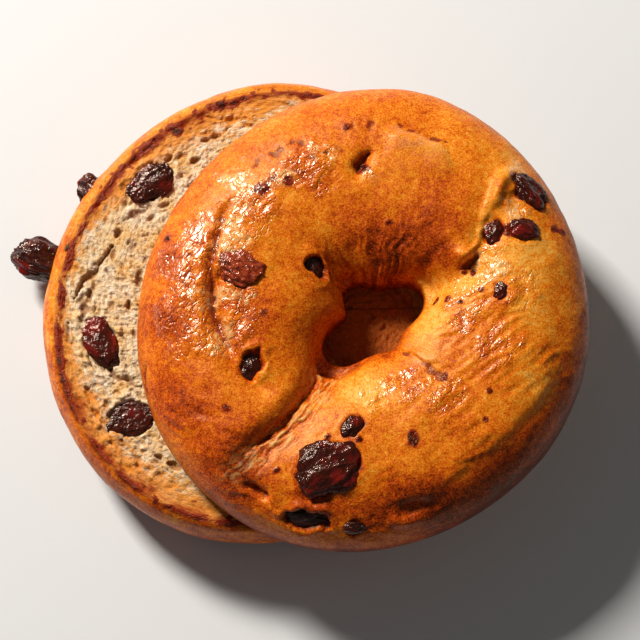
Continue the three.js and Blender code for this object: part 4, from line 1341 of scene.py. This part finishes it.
def make_crumb():
    material, tree, shader = new_material("crumb")
    place, ringwise = object_place(tree), mask(tree, "ringwise", "Vector")
    fibre = noise(tree, ringwise, 1000, 4.0, 0.65, (0.45, 1.0, 1.0))
    fine = noise(tree, place, 2400, 2.0)
    uneven = sums(tree, "SUBTRACT", fibre, 0.5)
    # The toast mask carries the painted shade under the top half's hole as well as the toasting.
    ragged = sums(tree, "MULTIPLY_ADD", uneven, 0.9, mask(tree, "toast"))
    burnt = sums(tree, "MULTIPLY_ADD", uneven, 1.3, mask(tree, "scorch"))
    colour = ramp(tree, noise(tree, place, 150, 4.0, 0.6), crumb_stops)
    for share, strength, next_colour in (
        (band(tree, fibre, 0.52, 0.68), 0.55, (0.50, 0.25, 0.085)),
        (band(tree, fine, 0.52, 0.70), 0.35, (0.45, 0.22, 0.08)),
        (band(tree, fibre, 0.46, 0.34), 0.6, (0.93, 0.83, 0.70)),
        # Painted shade inside the bubbles.
        (mask(tree, "pore"), 0.80, (0.25, 0.085, 0.018)),
        (band(tree, ragged, 0.08, 0.42), 0.9, (0.72, 0.25, 0.028)),
        (band(tree, ragged, 0.42, 0.85), 0.9, (0.36, 0.060, 0.005)),
        (mask(tree, "rind"), 0.9, ramp(tree, fibre, rind_stops)),
        (band(tree, burnt, 0.12, 0.50), 1.0, (0.24, 0.018, 0.002)),
        (band(tree, burnt, 0.75, 1.15), 1.0, (0.060, 0.004, 0.001)),
        (mask(tree, "seat"), 0.6, (0.24, 0.075, 0.022)),
    ):
        colour = blend(tree, product(tree, share, strength), colour, next_colour)
    put(tree, shader.inputs["Base Color"], colour)
    rough = sums(tree, "MULTIPLY_ADD", band(tree, burnt, 0.12, 0.6), -0.55, 0.85)
    put(tree, shader.inputs["Roughness"], rough)
    shader.inputs["Specular IOR Level"].default_value = 0.3
    shader.inputs["Specular Tint"].default_value = (1.0, 0.80, 0.6, 1)
    put(tree, shader.inputs["Normal"], bump(tree, sums(tree, "MULTIPLY_ADD", fine, 0.5, fibre), 0.9, 0.0006))
    return material


crumb = make_crumb()
print("crumb nodes:", len(crumb.node_tree.nodes))

# %% [markdown]
# The raisins have a nearly black red-brown skin, with a deeper red where the flesh is thin and light
# gets in, a half gloss, and a dusty bloom in fine spots. One lies under a film of dough, which browns it.
# Those deep in a hollow are darkened further by painted shade.

# %% Raisin material
def make_raisin_skin():
    material, tree, shader = new_material("raisin")
    place = object_place(tree)
    colour = ramp(tree, noise(tree, place, 170, 3.0), (
        (0.38, (0.010, 0.0015, 0.001)), (0.54, (0.034, 0.002, 0.001)), (0.68, (0.170, 0.004, 0.003))))
    bloom = band(tree, noise(tree, place, 1300, 3.0, 0.6), 0.58, 0.72)
    colour = blend(tree, product(tree, bloom, 0.25), colour, (0.16, 0.020, 0.008))
    colour = blend(tree, mask(tree, "film"), colour, (0.30, 0.040, 0.010))
    # Painted shade darkens a raisin deep in a hollow nearly to black.
    colour = blend(tree, product(tree, mask(tree, "shade"), 0.8), colour, (0.008, 0.001, 0.001))
    put(tree, shader.inputs["Base Color"], colour)
    wet = sums(tree, "MULTIPLY_ADD", noise(tree, place, 600), 0.30, 0.06)
    put(tree, shader.inputs["Roughness"], sums(tree, "MULTIPLY_ADD", mask(tree, "shade"), 0.25, wet))
    shader.inputs["Specular IOR Level"].default_value = 0.55
    shader.inputs["Specular Tint"].default_value = (1.0, 0.82, 0.74, 1)
    put(tree, shader.inputs["Normal"], bump(tree, noise(tree, place, 800, 3.0, 0.55), 0.65, 0.0007))
    return material


raisin_skin = make_raisin_skin()
for loaf, node in ((top_half, "top_half"), (bottom_half, "bottom_half")):
    loaf.data.materials.append(crust)
    loaf.data.materials.append(crumb)
    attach(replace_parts(loaf, node), "root")
for piece in raisins:
    piece.data.materials.append(raisin_skin)
print("materials:", crust.name, crumb.name, raisin_skin.name)

# %% [markdown]
# The setting. A plain pale floor, one soft square lamp high on the upper left as the picture has it, and
# a pale sky to fill the shadows. The camera looks down from 78 degrees above the floor through a long
# lens, so the ring shows with little perspective.

# %% Floor, light and camera
floor_half = 3
floor_mesh = bpy.data.meshes.new("floor")
corners = [(x * floor_half, y * floor_half, 0) for x, y in ((-1, -1), (1, -1), (1, 1), (-1, 1))]
floor_mesh.from_pydata(corners, [], [(0, 1, 2, 3)])
floor = bpy.data.objects.new("floor", floor_mesh)
bpy.context.collection.objects.link(floor)
floor_material, _, floor_shader = new_material("floor")
floor_shader.inputs["Base Color"].default_value = (0.74, 0.77, 0.82, 1)
floor_shader.inputs["Roughness"].default_value = 0.9
floor_mesh.materials.append(floor_material)

world = bpy.data.worlds.new("pale sky")
world.use_nodes = True
world.node_tree.nodes["Background"].inputs["Color"].default_value = (1.0, 0.96, 0.90, 1)
world.node_tree.nodes["Background"].inputs["Strength"].default_value = 0.10
bpy.context.scene.world = world


def lamp(name, toward, distance, size, power):
    """A square lamp at a direction (degrees round from +X, degrees up) that faces the bagel."""
    round_angle, up_angle = (math.radians(angle) for angle in toward)
    light = bpy.data.lights.new(name, "AREA")
    light.size = size
    light.energy = power
    light.color = (1.0, 0.93, 0.82)
    holder = bpy.data.objects.new(name, light)
    holder.location = (distance * math.cos(up_angle) * math.cos(round_angle),
                       distance * math.cos(up_angle) * math.sin(round_angle), distance * math.sin(up_angle))
    holder.rotation_euler = (math.pi / 2 - up_angle, 0, round_angle + math.pi / 2)
    bpy.context.collection.objects.link(holder)
    return holder


lamp("key", toward=(130, 40), distance=1.2, size=0.24, power=22.5)

look_at = np.array((5.96, -2.28, 20.0)) * MM
camera_up, camera_distance = math.radians(78), 0.56
camera = bpy.data.cameras.new("camera")
camera.sensor_width = 36
camera.lens = 131.25
camera.clip_start = 0.01
viewer = bpy.data.objects.new("camera", camera)
viewer.location = look_at + camera_distance * np.array((0, -math.cos(camera_up), math.sin(camera_up)))
viewer.rotation_euler = (math.pi / 2 - camera_up, 0, 0)
bpy.context.collection.objects.link(viewer)
bpy.context.scene.camera = viewer
bpy.context.scene.view_settings.view_transform = "Standard"
print("camera, m:", np.round(viewer.location, 3))
